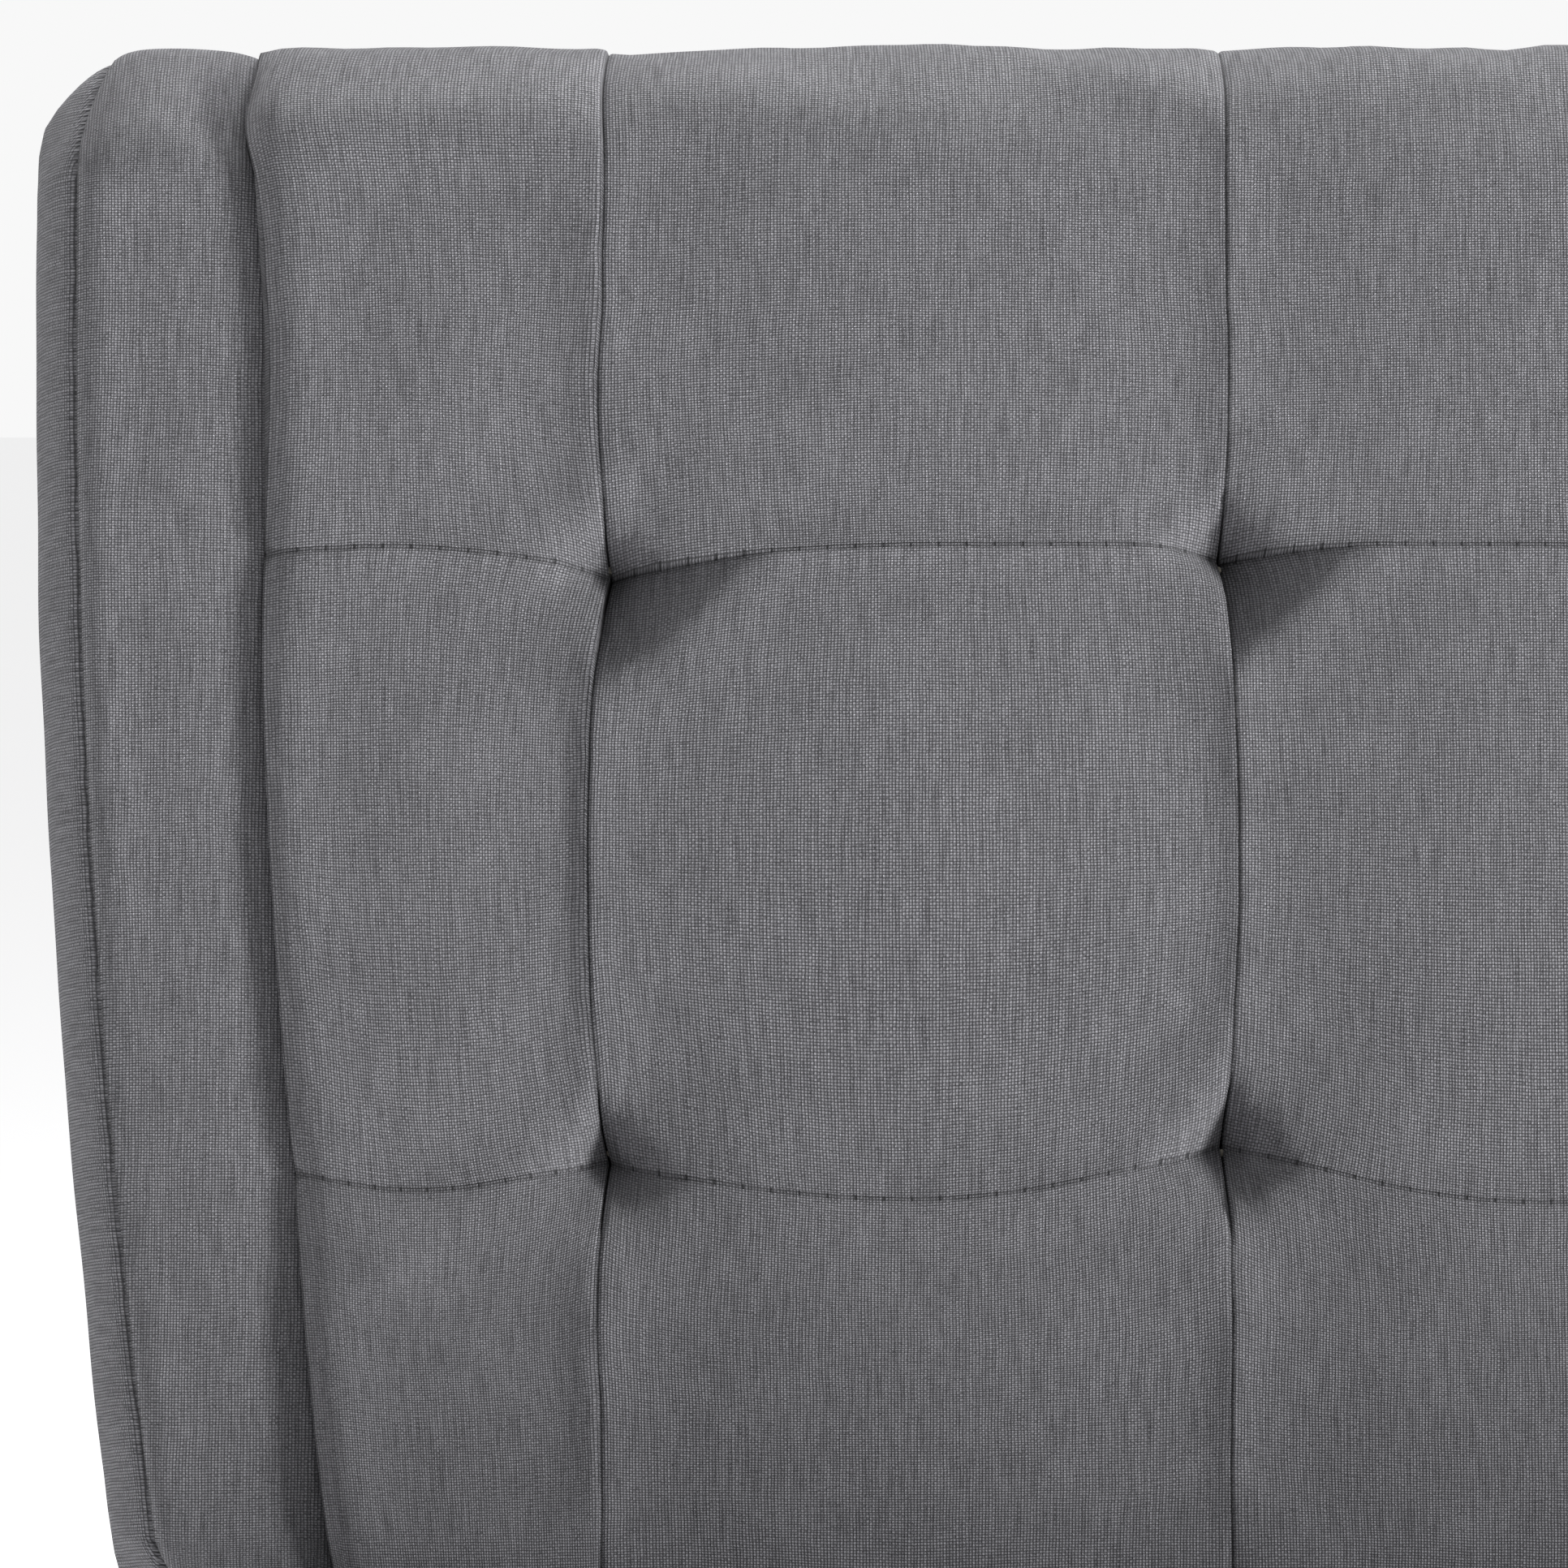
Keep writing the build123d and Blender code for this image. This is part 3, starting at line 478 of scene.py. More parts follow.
def pad_relief(grid, to_edge):
    """How far the cloth stands off the plain outline, out positive."""
    depth = 0.35 + 0.65 * grid.on_face
    relief = -COLUMN_DEPTH * depth * np.exp(-grid.to_column / SEAM_REACH)
    relief -= ROW_DEPTH * np.exp(-grid.to_row / SEAM_REACH)
    # The wall beside the band seam, a quarter round, which fades where the cloth rolls over the edge.
    sunk = 0.12 + 0.88 * grid.on_face
    relief -= (VALLEY - VALLEY_SLOPE) * sunk * quarter_round(to_edge / VALLEY_WALL)
    relief -= VALLEY_SLOPE * sunk * np.exp(-to_edge / 0.03)
    relief += CROWN * square_crown(grid) * depth
    for r, row_arc in enumerate(grid.row_arcs):
        for k, column in enumerate(grid.columns):
            press_tuft(relief, grid.x - column, grid.t - row_arc, k, r)
    # The sewn groove itself, and the slight unevenness of hand work.
    groove = bell(grid.to_column, GROOVE_WIDTH) + bell(grid.to_row, GROOVE_WIDTH)
    relief -= GROOVE * np.minimum(groove, 1.2)
    relief += 0.0011 * noise(grid.x, grid.t, 11, 0.11) + 0.0005 * noise(grid.x, grid.t, 12, 0.045)
    return relief


def square_crown(grid):
    """Each square's crown: 1 in its middle, falling towards its seams."""
    outermost = grid.columns[-1]
    end = (np.abs(grid.x) - outermost) / (grid.half - outermost)
    across = (grid.x / TUFT_PITCH + 0.5) % 1.0
    across = np.where(np.abs(grid.x) > outermost, 0.5 * smooth(1 - end) + 0.25, across)
    low, high = grid.row_arcs
    face_low, face_high = low - (high - low) * 0.95, high + (high - low) * 0.98
    beyond_high = (face_high - grid.t) / (face_high - high)
    along = np.where(grid.t < high, (grid.t - low) / (high - low), beyond_high)
    along = np.where(grid.t < low, (grid.t - face_low) / (low - face_low), along)
    along = np.clip(along, 0, 1)
    return np.sin(np.pi * across) ** 0.9 * (0.35 + 0.65 * np.sin(np.pi * along) ** 0.9)


def facet_reach(k, r, side_x, side_t):
    """How far a tuft's facet runs in one quarter: furthest in the middle squares, from the far row."""
    inward = 1.0 if k < TUFTS_EACH_SIDE else -1.0
    if r == 1:
        reach = 0.043 if side_x * inward > 0 and side_t < 0 else 0.020
    else:
        reach = 0.030 if side_t < 0 else 0.022
    return reach * (1 + 0.15 * np.sin(5.1 * k + 2.3 * r + side_x + 2 * side_t))


def press_tuft(relief, dx, dt, k, r):
    """Presses one tuft into the relief: a soft cone, four creased facets and fine tension lines."""
    away = np.hypot(dx, dt)
    relief -= TUFT_DEPTH * 0.55 * np.exp(-away / TUFT_REACH)
    for side_x in (-1, 1):
        for side_t in (-1, 1):
            quarter = (side_x * dx >= 0) & (side_t * dt >= 0)
            reach = facet_reach(k, r, side_x, side_t)
            tall = TUFT_DEPTH * (0.58 if reach > 0.034 else 0.42)
            slope = 0.85 if side_t < 0 else 1.0
            lean = np.abs(dx) * slope + np.abs(dt)
            relief -= np.where(quarter, tall * np.maximum(0, 1 - lean / reach), 0.0)
    angle = np.arctan2(dt, dx)
    ray = np.cos(9 * angle + 1.7 * k + r) * 0.6 + np.cos(14 * angle + 0.9 * k) * 0.4
    relief += 0.0011 * ray * np.exp(-away / 0.030) * smooth(away / 0.02)


# ------------------------------------------------------------------ bands and gussets
def corner(panel, v):
    """0 along the side, rising to 1 at the panel's two ends as the plan corners round off."""
    away = np.minimum(v, panel.length - v)
    return quarter_round(away / CORNER_REACH)


def gusset_seam(panel, v):
    """Half width at the gusset's seam: close to the side on the face, further in at the ends."""
    return panel.side(v) - SIDE_INSET - CORNER_INSET * corner(panel, v)


def edge_drop(facing_w):
    """How far band and gusset sink at their shared seam: less on the ends, and nothing underneath."""
    on_face = face_share(facing_w)
    drop = BAND_LOW * (0.55 + 0.45 * on_face) + BAND_TILT * on_face + EDGE_ROUND * (0.3 + 0.7 * on_face)
    return (drop + GROOVE) * above_underside(facing_w)


def side_band(panel, side, material):
    section, normal, arc, _ = outline(panel, CLOTH_STEP, [])
    t, nv, nw = arc[:, None], normal[:, :1], normal[:, 1:]
    near_seam = np.array([0, 0.010, 0.022, 0.045, 0.08, 0.13])
    u = np.concatenate([near_seam, np.linspace(0.17, 0.83, 16), 1 - near_seam[::-1]])
    inner_x = panel.band_seam(section[:, :1])
    width = gusset_seam(panel, section[:, :1]) - inner_x
    x = inner_x + width * u[None, :]
    to_pad, to_gusset = u[None, :] * width, (1 - u[None, :]) * width

    on_face = face_share(nw)
    relief = -BAND_LOW * (0.55 + 0.45 * on_face) + 0.0028 * np.sin(np.pi * u[None, :]) ** 0.7
    relief = relief - BAND_TILT * on_face * u[None, :]
    relief = relief - (VALLEY - BAND_LOW) * (0.12 + 0.88 * on_face) * np.exp(-to_pad / 0.014)
    relief -= EDGE_ROUND * (0.3 + 0.7 * on_face) * quarter_round(to_gusset / 0.014)
    relief -= GROOVE * (bell(to_pad, GROOVE_WIDTH) + bell(to_gusset, GROOVE_WIDTH))
    pull = np.sin(t * 2 * np.pi / 0.031 + 2 * np.sin(t * 23))
    relief += 0.00045 * pull * np.exp(-to_gusset / 0.011)
    relief += 0.0012 * noise(x, t, 21 + (side > 0), 0.13)
    relief *= above_underside(nw)
    outer = panel.place(side * x, section[:, :1] + nv * relief, section[:, 1:] + nw * relief)

    nearest = np.minimum(to_pad, to_gusset)
    held = np.where((nearest < SEWN_REACH) | (nv < -0.5), 1.0, ROLL_HOLD * (1 - on_face))
    held[:2], held[-2:] = 1.0, 1.0
    turned = (panel.forward > 0) == (side > 0)
    outer = swollen(outer, arc, u * BAND_WIDTH, [], [], held, turned, BAND_CAP)
    cloth = np.stack([side * x, t + 0 * x], axis=-1)
    kind = np.where(to_pad < to_gusset, BAND_SEAM, GUSSET_SEAM)
    seam = np.stack([t + 0 * x, nearest, kind], axis=-1)
    points, cloth, seam = closed_section(panel, side * x, outer, cloth, seam)
    tag = "right" if side > 0 else "left"
    name = f"{panel.name}_side_band_cover_{tag}"
    piece = grid_piece(name, panel, points, cloth, seam, material, True, turned)
    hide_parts(f"{panel.name}_side_band_{tag}")


def side_gusset(panel, side, material):
    """The side face: rings run from the perimeter seam in to a spine along the middle."""
    section, normal, arc, _ = outline(panel, CLOTH_STEP, [])
    # Close the perimeter along the underside.
    back = np.linspace(section[-1, 0], section[0, 0], 60)[1:-1]
    under = np.stack([back, np.full_like(back, 0.0)], axis=1)
    ring = np.concatenate([section, under])
    facing = np.concatenate([normal, np.repeat([[0.0, -1.0]], len(under), axis=0)])
    start = ring - facing * edge_drop(facing[:, 1])[:, None]
    # Each point of the ring aims at its nearest place on the spine.
    middle = panel.thickness * 0.47
    spine_low, spine_high = middle, panel.length - middle
    goal = np.stack([np.clip(start[:, 0], spine_low, spine_high), np.full(len(start), middle)], axis=1)
    span = np.linalg.norm(goal - start, axis=1)
    at_corner = corner(panel, ring[:, 0])
    deep = SIDE_INSET + CORNER_INSET * at_corner
    reach = 0.015 + 0.031 * at_corner
    places, x, far = [], [], []
    # How far in each ring lies on a way of 66 mm to the spine, and last the spine itself.
    inward = np.array([0, 0.0008, 0.002, 0.004, 0.007, 0.011, 0.016, 0.023, 0.032, 0.044, 0.058])
    for share in [*(inward / 0.066), 1.0]:
        at, away = start + (goal - start) * share, share * span
        rise = deep * quarter_round(away / reach)
        puff = 0.0085 * smooth(away / 0.03)
        places.append(at)
        x.append(panel.side(at[:, 0]) - rise + puff - 0.0012 - GROOVE * bell(away, GROOVE_WIDTH))
        far.append(away)
    vw, x, far = np.array(places), np.array(x), np.array(far)
    x = x + 0.0009 * noise(vw[..., 0], vw[..., 1], 31 + (side > 0), 0.10) * smooth(far / 0.02)
    # The perimeter is one loop, so the first column is repeated to close it.
    vw, x, far = (np.concatenate([g, g[:, :1]], axis=1) for g in (vw, x, far))
    points = panel.place(side * x, vw[..., 0], vw[..., 1])
    around = np.concatenate([arc, arc[-1] + np.arange(1, len(under) + 1) * 0.009, [arc[-1] + 0.55]])
    cloth = np.stack([vw[..., 0], vw[..., 1] - far * 0.2], axis=-1)
    seam = np.stack([around[None, :] + 0 * far, far, np.full_like(far, GUSSET_SEAM)], axis=-1)
    tag = "right" if side > 0 else "left"
    name = f"{panel.name}_side_gusset_cover_{tag}"
    turned = (panel.forward > 0) != (side > 0)
    piece = grid_piece(name, panel, points, cloth, seam, material, False, turned)
    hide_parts(f"{panel.name}_side_gusset_{tag}")


# ------------------------------------------------------------------ material helpers
class Nodes:
    """Short names for building a node material."""

    def __init__(self, name):
        self.material = bpy.data.materials.new(name)
        self.material.use_nodes = True
        self.tree = self.material.node_tree
        self.shader = self.tree.nodes["Principled BSDF"]

    def add(self, kind, inputs=None, **settings):
        node = self.tree.nodes.new(kind)
        for key, value in settings.items():
            setattr(node, key, value)
        for key, value in (inputs or {}).items():
            self.feed(node.inputs[key], value)
        return node

    def feed(self, socket, value):
        if isinstance(value, bpy.types.NodeSocket):
            self.tree.links.new(value, socket)
        else:
            socket.default_value = value

    def math(self, operation, a, b=0.0, c=0.0, clamp=False):
        node = self.add("ShaderNodeMath", {0: a, 1: b, 2: c}, operation=operation, use_clamp=clamp)
        return node.outputs[0]

    def wave(self, value, pitch):
        """A sine with a zero every pitch."""
        return self.math("SINE", self.math("MULTIPLY", value, np.pi / pitch))

    def mix(self, factor, a, b):
        node = self.add("ShaderNodeMix", {"Factor": factor}, data_type="RGBA")
        self.feed(node.inputs[6], a)
        self.feed(node.inputs[7], b)
        return node.outputs[2]

    def noise(self, vector, scale, detail=2.0, roughness=0.5, axes=(1, 1, 1)):
        mapped = self.add("ShaderNodeMapping", {"Vector": vector, "Scale": axes}).outputs[0]
        inputs = {"Vector": mapped, "Scale": scale, "Detail": detail, "Roughness": roughness}
        return self.add("ShaderNodeTexNoise", inputs).outputs["Fac"]

    def ramp(self, value, low, high, to_low=0.0, to_high=1.0):
        inputs = {"Value": value, "From Min": low, "From Max": high, "To Min": to_low, "To Max": to_high}
        return self.add("ShaderNodeMapRange", inputs).outputs[0]

    def bump(self, height, distance, strength=1.0, normal=None):
        node = self.add("ShaderNodeBump", {"Height": height, "Distance": distance, "Strength": strength})
        if normal is not None:
            self.feed(node.inputs["Normal"], normal)
        return node.outputs[0]

    def finish(self, color, roughness, normal=None, **constants):
        self.feed(self.shader.inputs["Base Color"], color)
        self.feed(self.shader.inputs["Roughness"], roughness)
        if normal is not None:
            self.feed(self.shader.inputs["Normal"], normal)
        for key, value in constants.items():
            self.shader.inputs[key.replace("_", " ")].default_value = value
        return self.material


def woven(name, dark, light):
    """A plain weave of melange yarn with its seams, and painted shade between the threads, along the
    seams' grooves and in the stitch holes: needs the cloth UVs and the seam attribute.
    """
    n = Nodes(name)
    uv = n.add("ShaderNodeUVMap", uv_map="cloth").outputs[0]
    wobble = n.add("ShaderNodeTexNoise", {"Vector": uv, "Scale": 55.0, "Detail": 2.0}).outputs["Color"]
    middle = (0.5, 0.5, 0.5)
    wobble = n.add("ShaderNodeVectorMath", {0: wobble, 1: middle}, operation="SUBTRACT").outputs[0]
    wobble = n.add("ShaderNodeVectorMath", {0: wobble, "Scale": 0.0009}, operation="SCALE").outputs[0]
    uv = n.add("ShaderNodeVectorMath", {0: uv, 1: wobble}, operation="ADD").outputs[0]
    axes = n.add("ShaderNodeSeparateXYZ", {0: uv})
    warp_wave, weft_wave = n.wave(axes.outputs[0], WARP), n.wave(axes.outputs[1], WEFT)
    crossing = n.math("MULTIPLY", n.math("ABSOLUTE", warp_wave), n.math("ABSOLUTE", weft_wave))
    over = n.ramp(n.math("MULTIPLY", warp_wave, weft_wave), -0.35, 0.35)

    warp_tone = n.noise(uv, 1.0, 1.0, 0.5, (1.0 / WARP, 60.0, 1.0))
    weft_tone = n.noise(uv, 1.0, 1.0, 0.5, (190.0, 0.8 / WEFT, 1.0))
    fibre = n.noise(uv, 1.0, 2.0, 0.7, (2400.0, 1500.0, 1.0))
    cloud = n.noise(uv, 26.0, 3.0, 0.55)
    streak = n.noise(uv, 1.0, 2.0, 0.6, (640.0, 50.0, 1.0))
    under = n.math("MULTIPLY_ADD", weft_tone, 0.6, 0.12)
    thread = n.math("ADD", n.math("MULTIPLY", warp_tone, over),
                    n.math("MULTIPLY", under, n.math("SUBTRACT", 1.0, over)))
    tone = n.math("MULTIPLY_ADD", thread, 0.95, n.math("MULTIPLY_ADD", fibre, 0.70, -0.27))
    tone = n.math("ADD", tone, n.math("MULTIPLY_ADD", streak, 0.22, -0.11))
    tone = n.math("ADD", tone, n.math("MULTIPLY_ADD", cloud, 0.13, -0.065))
    # Painted shade: the cloth darkens in the gaps between the threads, away from where they cross.
    tone = n.math("MULTIPLY", tone, n.ramp(crossing, 0.0, 0.55, 0.30, 1.16))
    tone = n.ramp(tone, 0.20, 0.76)

    mark = n.add("ShaderNodeAttribute", attribute_name="seam").outputs["Vector"]
    mark = n.add("ShaderNodeSeparateXYZ", {0: mark})
    along, away, kind = mark.outputs[0], mark.outputs[1], mark.outputs[2]
    # Painted shade: a thin dark line along each seam's groove, and dark stitch holes along the row seams.
    line = n.ramp(away, 0.0002, 0.0009, 1.0, 0.0)
    stitch = n.math("ABSOLUTE", n.wave(along, STITCH))
    near = n.ramp(away, 0.0006, 0.0030, 1.0, 0.0)
    hole_spot = n.math("ABSOLUTE", n.wave(along, HOLE_PITCH))
    by_seam = n.ramp(away, 0.0006, 0.0012, 1.0, 0.0)
    painted_hole_shade = n.math("MULTIPLY", n.ramp(hole_spot, 0.10, 0.22, 1.0, 0.0), by_seam)
    past_band = n.math("GREATER_THAN", kind, (BAND_SEAM + ROW_SEAM) / 2)
    before_column = n.math("LESS_THAN", kind, (ROW_SEAM + COLUMN_SEAM) / 2)
    painted_hole_shade = n.math("MULTIPLY", painted_hole_shade, n.math("MULTIPLY", past_band, before_column))
    painted_seam_shade = n.math("MAXIMUM", n.math("MULTIPLY", line, 0.50), n.math("MULTIPLY", painted_hole_shade, 0.85))

    color = n.mix(tone, (*dark, 1.0), (*light, 1.0))
    # The painted seam shade is mixed into the colour, towards near black.
    color = n.mix(painted_seam_shade, color, (0.022, 0.022, 0.024, 1.0))

    weave = n.bump(n.math("POWER", crossing, 0.7), 0.00035, 1.0)
    fluff = n.bump(n.math("ADD", fibre, n.math("MULTIPLY", cloud, 0.6)), 0.00030, 0.7, weave)
    sewn_edge = n.math("GREATER_THAN", kind, (COLUMN_SEAM + GUSSET_SEAM) / 2)
    scallop = n.math("MULTIPLY", n.math("MULTIPLY", stitch, near), sewn_edge)
    puckered = n.math("SUBTRACT", scallop, n.math("MULTIPLY", line, 1.2))
    normal = n.bump(puckered, 0.0007, 0.7, fluff)
    roughness = n.ramp(fibre, 0.2, 0.8, 0.80, 0.97)
    return n.finish(color, roughness, normal, Sheen_Weight=0.20, Sheen_Roughness=0.45,
                    Specular_IOR_Level=0.22)


def wood(name, axis, dark, light, gloss):
    """Planed or turned timber with its grain along one axis of the row frame."""
    n = Nodes(name)
    place = n.add("ShaderNodeTexCoord").outputs["Object"]
    stretch = [9.0, 9.0, 9.0]
    stretch["XYZ".index(axis)] = 0.7
    warp = n.noise(place, 1.0, 3.0, 0.55, stretch)
    grain = n.math("MULTIPLY", n.noise(place, 5.0), 6.0)
    rings = n.math("SINE", n.math("MULTIPLY_ADD", warp, 62.0, grain))
    fine = [s * 60 for s in stretch]
    pores = n.noise(place, 1.0, 2.0, 0.7, fine)
    rays = n.noise(place, 1.0, 2.0, 0.6, [s * 14 for s in stretch])
    tone = n.math("MULTIPLY_ADD", rings, 0.17, 0.42)
    tone = n.math("ADD", tone, n.math("MULTIPLY_ADD", rays, 0.55, -0.27))
    tone = n.math("ADD", tone, n.math("MULTIPLY_ADD", pores, 0.35, -0.17), clamp=True)
    color = n.mix(tone, (*dark, 1.0), (*light, 1.0))
    worn = n.noise(place, 18.0, 4.0, 0.6)
    normal = n.bump(n.math("MULTIPLY_ADD", pores, 0.7, n.math("MULTIPLY", rings, 0.08)), 0.0003, 0.35)
    return n.finish(color, n.ramp(worn, 0.3, 0.75, gloss, gloss + 0.16), normal, Specular_IOR_Level=0.45,
                    Coat_Weight=0.15 if gloss < 0.5 else 0.0, Coat_Roughness=0.3)


def metal(name, color, metallic, roughness, speckle, brushed=0.0):
    """Coated or plated steel, with an uneven finish and faint scuffs."""
    n = Nodes(name)
    place = n.add("ShaderNodeTexCoord").outputs["Object"]
    grainy = n.noise(place, 900.0, 2.0, 0.6)
    broad = n.noise(place, 22.0, 4.0, 0.6)
    scuff = n.ramp(n.noise(place, 1.0, 3.0, 0.6, (40.0, 260.0, 260.0)), 0.62, 0.74)
    lighter = tuple(min(1.0, c * 1.5 + 0.03) for c in color)
    wear = n.math("MULTIPLY_ADD", broad, 0.6, n.math("MULTIPLY", scuff, 0.25))
    tint = n.mix(wear, (*color, 1.0), (*lighter, 1.0))
    height = n.math("MULTIPLY_ADD", grainy, 1.0, n.math("MULTIPLY", scuff, -brushed))
    normal = n.bump(height, speckle, 0.5)
    rough = n.ramp(broad, 0.3, 0.7, roughness, roughness + 0.14)
    rough = n.math("MULTIPLY_ADD", scuff, 0.08, rough)
    return n.finish(tint, rough, normal, Metallic=metallic)


def fibrous(name, dark, light, scale, depth, roughness=0.95):
    """Felt, foam, lining or twine: a matt tangle of fibres or cells."""
    n = Nodes(name)
    place = n.add("ShaderNodeTexCoord").outputs["Object"]
    cells = n.add("ShaderNodeTexVoronoi", {"Vector": place, "Scale": scale}).outputs["Distance"]
    hair = n.noise(place, scale * 1.7, 4.0, 0.7)
    broad = n.noise(place, 14.0, 3.0)
    tone = n.math("MULTIPLY_ADD", cells, 0.5, n.math("MULTIPLY", broad, 0.25))
    tone = n.math("MULTIPLY_ADD", hair, 0.6, tone)
    color = n.mix(n.ramp(tone, 0.3, 1.0), (*dark, 1.0), (*light, 1.0))
    normal = n.bump(n.math("ADD", cells, hair), depth, 0.8)
    rough = n.ramp(hair, 0.2, 0.8, roughness - 0.1, roughness)
    return n.finish(color, rough, normal, Specular_IOR_Level=0.2, Sheen_Weight=0.1)


def moulded(name, color, roughness):
    """Rubber or plastic from a mould, with a fine spark-eroded texture."""
    n = Nodes(name)
    place = n.add("ShaderNodeTexCoord").outputs["Object"]
    fine = n.noise(place, 1600.0, 2.0, 0.5)
    broad = n.noise(place, 30.0, 3.0)
    lighter = tuple(min(1.0, c * 1.25 + 0.01) for c in color)
    tint = n.mix(broad, (*color, 1.0), (*lighter, 1.0))
    return n.finish(tint, n.ramp(broad, 0.3, 0.7, roughness, roughness + 0.12), n.bump(fine, 0.0001, 0.5))


FABRIC_DARK, FABRIC_LIGHT = (0.095, 0.094, 0.101), (0.478, 0.474, 0.505)
STAIN_DARK, STAIN_LIGHT = (0.150, 0.068, 0.026), (0.340, 0.180, 0.085)
PINE_DARK, PINE_LIGHT = (0.42, 0.25, 0.12), (0.66, 0.47, 0.28)
LINING_DARK, LINING_LIGHT = (0.012, 0.012, 0.014), (0.045, 0.045, 0.050)


def dress_frame():
    """Materials for the CAD nodes that stay: by slot, and for wood also by the way the grain runs."""
    plain = {
        "painted_steel": metal("black_powder_coat", (0.020, 0.020, 0.022), 0.0, 0.38, 0.00006),
        "zinc_steel": metal("zinc_plate", (0.56, 0.57, 0.58), 1.0, 0.30, 0.00003, 0.4),
        "spring_steel": metal("spring_wire", (0.36, 0.36, 0.37), 1.0, 0.34, 0.00003, 0.6),
        "lining_fabric": fibrous("black_lining", LINING_DARK, LINING_LIGHT, 700.0, 0.0004),
        "foam": fibrous("cut_foam", (0.52, 0.47, 0.33), (0.80, 0.75, 0.56), 500.0, 0.0012),
        "felt": fibrous("needled_felt", (0.20, 0.19, 0.18), (0.42, 0.41, 0.39), 420.0, 0.0012),
        "glide_felt": fibrous("pressed_felt", (0.05, 0.05, 0.05), (0.13, 0.13, 0.13), 600.0, 0.0008),
        "twine": fibrous("waxed_twine", (0.36, 0.33, 0.27), (0.62, 0.58, 0.50), 1500.0, 0.0003, 0.7),
        "bumper_rubber": moulded("matt_rubber", (0.018, 0.018, 0.018), 0.62),
        "clip_plastic": moulded("clip_plastic", (0.52, 0.52, 0.50), 0.42),
    }
    woods = {}
    for part in frame["record"]["subparts"]:
        node, slot = part["node"], part["material_slot"]
        chosen = plain.get(slot)
        if slot in ("turned_wood", "base_wood", "frame_wood"):
            low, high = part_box(node)
            size = [high[i] - low[i] for i in range(3)]
            axis = "Z" if slot == "turned_wood" else "XYZ"[int(np.argmax(size))]
            if (slot, axis) not in woods:
                stained = (STAIN_DARK, STAIN_LIGHT, 0.34)
                tones = (PINE_DARK, PINE_LIGHT, 0.62) if slot == "frame_wood" else stained
                woods[slot, axis] = wood(f"{slot}_{axis.lower()}", axis, *tones)
            chosen = woods[slot, axis]
        if chosen:
            mesh = frame["nodes"][node].data
            mesh.materials.clear()
            mesh.materials.append(chosen)


def frame_cover(panel, material):
    """The cloth stretched over the frame's open side, with its edge turned in."""
    inset, turned = 0.0125, 0.0015
    v = spread(inset, panel.length - inset, 0.012)
    u = spread(-1.0, 1.0, 0.010)
    half = (panel.side(v) - inset - CORNER_INSET * corner(panel, v))[:, None]
    near_end = np.minimum(v - inset, panel.length - inset - v)[:, None]
    x = half * u[None, :]
    edge = np.minimum(half - np.abs(x), near_end)
    w = -0.0002 + 0.0016 * smooth(edge / 0.05) * (0.6 + 0.4 * noise(x, v[:, None], 41, 0.16))
    w = w + 0.0003 * np.cos(x / 0.021 * 2 * np.pi) * np.exp(-near_end / 0.03)
    w = w + turned * (1 - smooth(edge / 0.002))
    points = panel.place(x, v[:, None] + 0 * x, w)
    cloth = np.stack([x, v[:, None] + 0 * x], axis=-1)
    hem = np.abs(edge - 0.008)
    seam = np.stack([x + v[:, None], hem, np.full_like(x, HEM)], axis=-1)
    name = f"{panel.name}_frame_cover"
    piece = grid_piece(name, panel, points, cloth, seam, material, False, panel.forward < 0)
    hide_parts(f"{panel.name}_under_cover")


def build():
    fabric = woven("grey_melange", FABRIC_DARK, FABRIC_LIGHT)
    gusset = woven("grey_melange_turned", FABRIC_DARK, FABRIC_LIGHT)
    lining = fibrous("black_lining_cover", LINING_DARK, LINING_LIGHT, 700.0, 0.0004)
    dress_frame()
    panels = (("seat", "base", lining, "lining_fabric"), ("back", "back", fabric, "upholstery"))
    for name, body, cover, slot in panels:
        panel = Panel(name, body)
        tufted_pad(panel, fabric)
        frame_cover(panel, cover)
        for side in (-1, 1):
            side_band(panel, side, fabric)
            side_gusset(panel, side, gusset)
    studio()


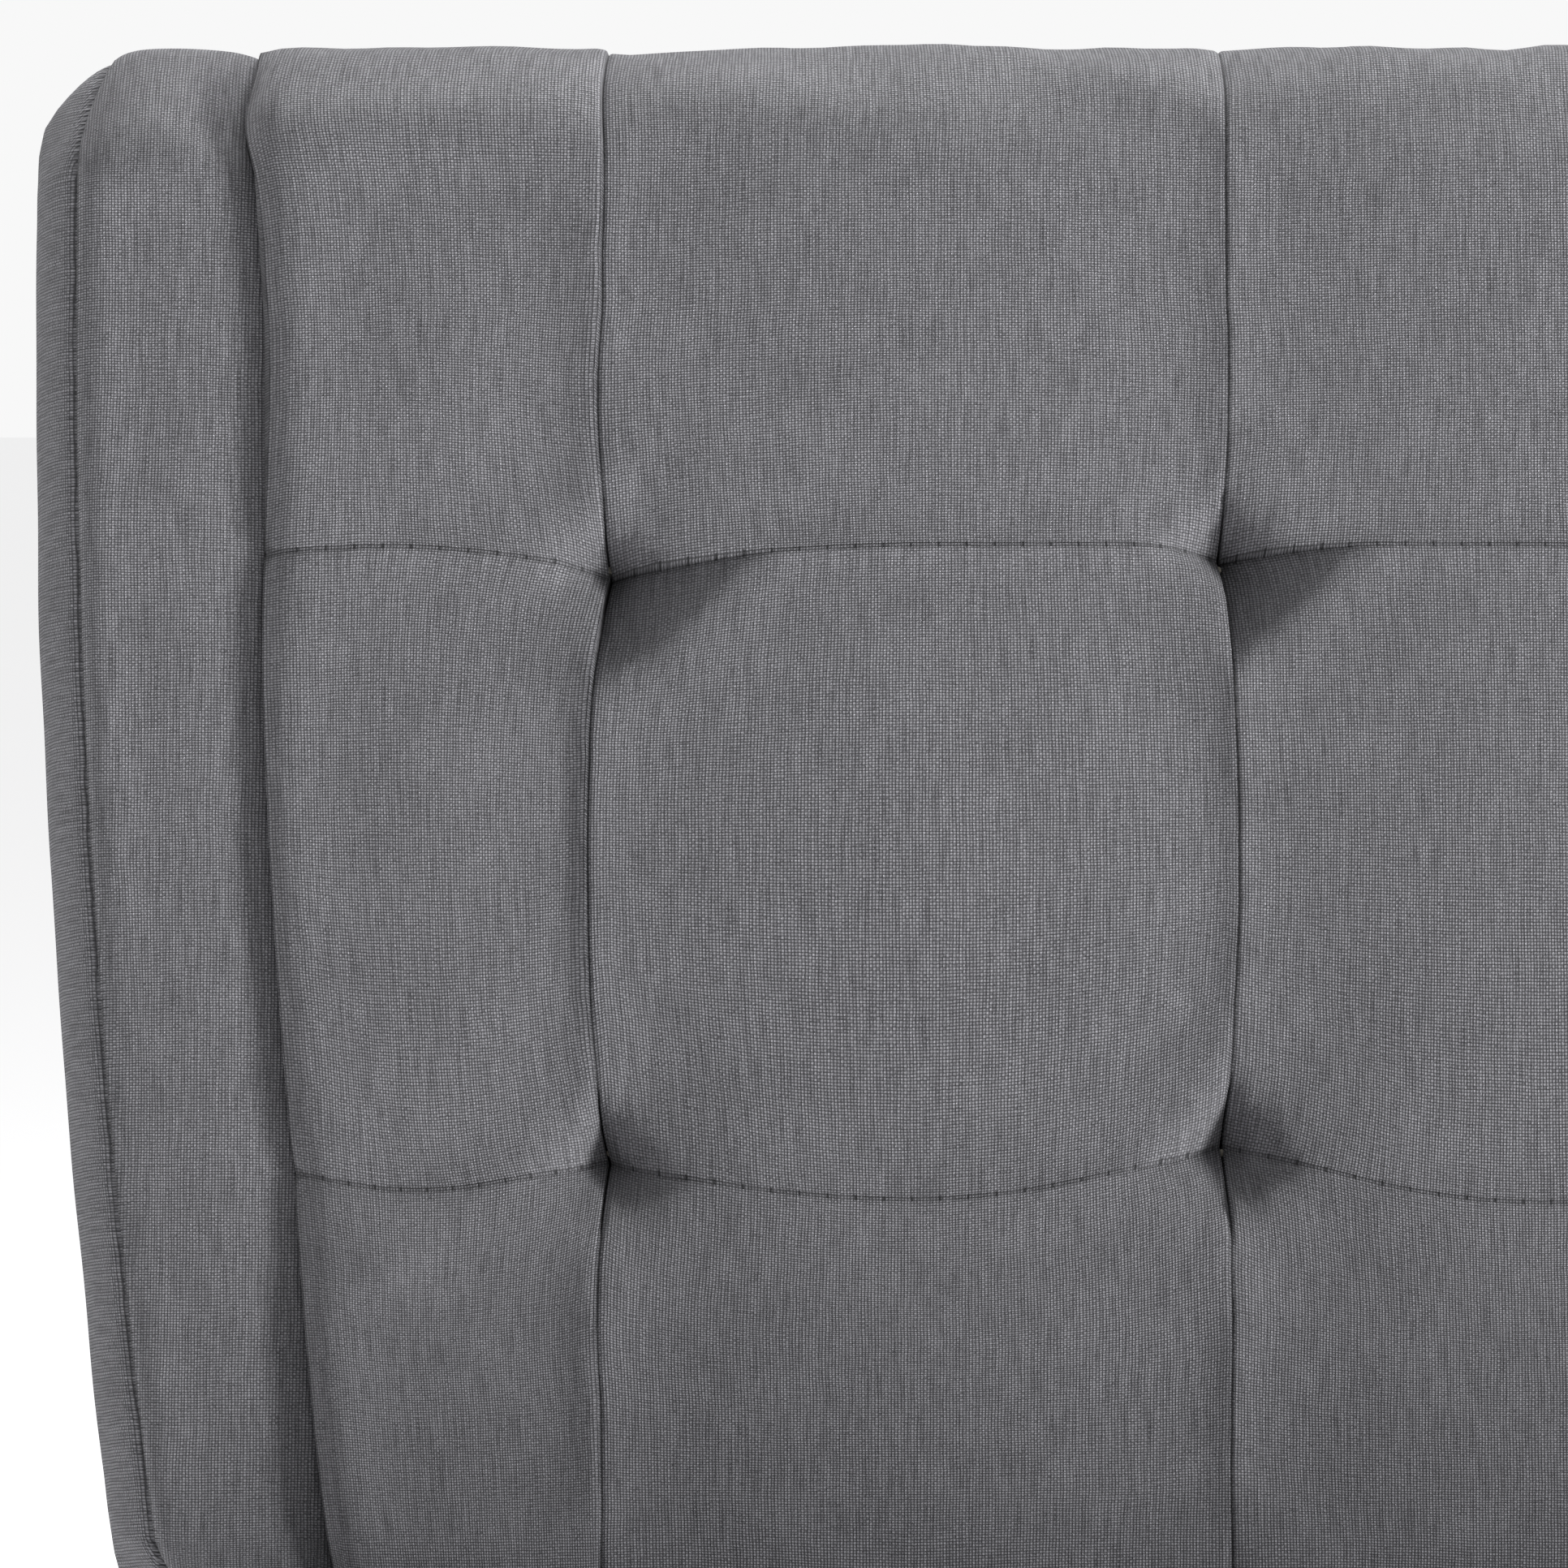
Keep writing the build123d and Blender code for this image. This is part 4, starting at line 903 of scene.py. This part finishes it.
# ------------------------------------------------------------------ floor, light and camera
def studio():
    mesh = bpy.data.meshes.new("floor")
    mesh.from_pydata([(-8, -8, 0), (8, -8, 0), (8, 8, 0), (-8, 8, 0)], [], [(0, 1, 2, 3)])
    floor = bpy.data.objects.new("floor", mesh)
    bpy.context.scene.collection.objects.link(floor)
    paint = Nodes("floor_paint")
    place = paint.add("ShaderNodeTexCoord").outputs["Object"]
    mottled = paint.mix(paint.noise(place, 3.0), (0.90, 0.90, 0.91, 1), (0.93, 0.93, 0.94, 1))
    mesh.materials.append(paint.finish(mottled, 0.8, Emission_Color=(1, 1, 1, 1), Emission_Strength=0.62))

    world = bpy.data.worlds.new("studio")
    bpy.context.scene.world = world
    world.use_nodes = True
    sky = world.node_tree.nodes["Background"]
    sky.inputs["Color"].default_value = (0.939, 0.939, 0.939, 1)
    seen = world.node_tree.nodes.new("ShaderNodeLightPath").outputs["Is Camera Ray"]
    power = world.node_tree.nodes.new("ShaderNodeMapRange")
    power.inputs["To Min"].default_value, power.inputs["To Max"].default_value = 0.28, 1.0
    world.node_tree.links.new(seen, power.inputs["Value"])
    world.node_tree.links.new(power.outputs[0], sky.inputs["Strength"])

    light("key", (3.1, -2.1, 0.46), (-0.3, 0.2, 0.65), 1.0, 0.8, 150.0)
    light("top", (-0.4, 1.1, 2.6), (-0.4, 0.35, 0.9), 2.4, 0.9, 54.0)

    camera = bpy.data.cameras.new("camera")
    camera.lens, camera.sensor_width = CAMERA_LENS, 36.0
    eye = bpy.data.objects.new("camera", camera)
    bpy.context.scene.collection.objects.link(eye)
    x, y, z = CAMERA_LOOK
    away, up = CAMERA_DISTANCE * np.cos(CAMERA_RISE), CAMERA_DISTANCE * np.sin(CAMERA_RISE)
    aim_at(eye, (x, y - away, z + up), CAMERA_LOOK)
    bpy.context.scene.camera = eye
    bpy.context.scene.view_settings.view_transform = "Standard"


def aim_at(thing, at, look):
    thing.location = at
    thing.rotation_mode = "QUATERNION"
    thing.rotation_quaternion = (Vector(look) - Vector(at)).to_track_quat("-Z", "Y")


def light(name, at, look, width, height, power):
    data = bpy.data.lights.new(name, "AREA")
    data.shape, data.size, data.size_y, data.energy = "RECTANGLE", width, height, power
    lamp = bpy.data.objects.new(name, data)
    bpy.context.scene.collection.objects.link(lamp)
    aim_at(lamp, at, look)


build()
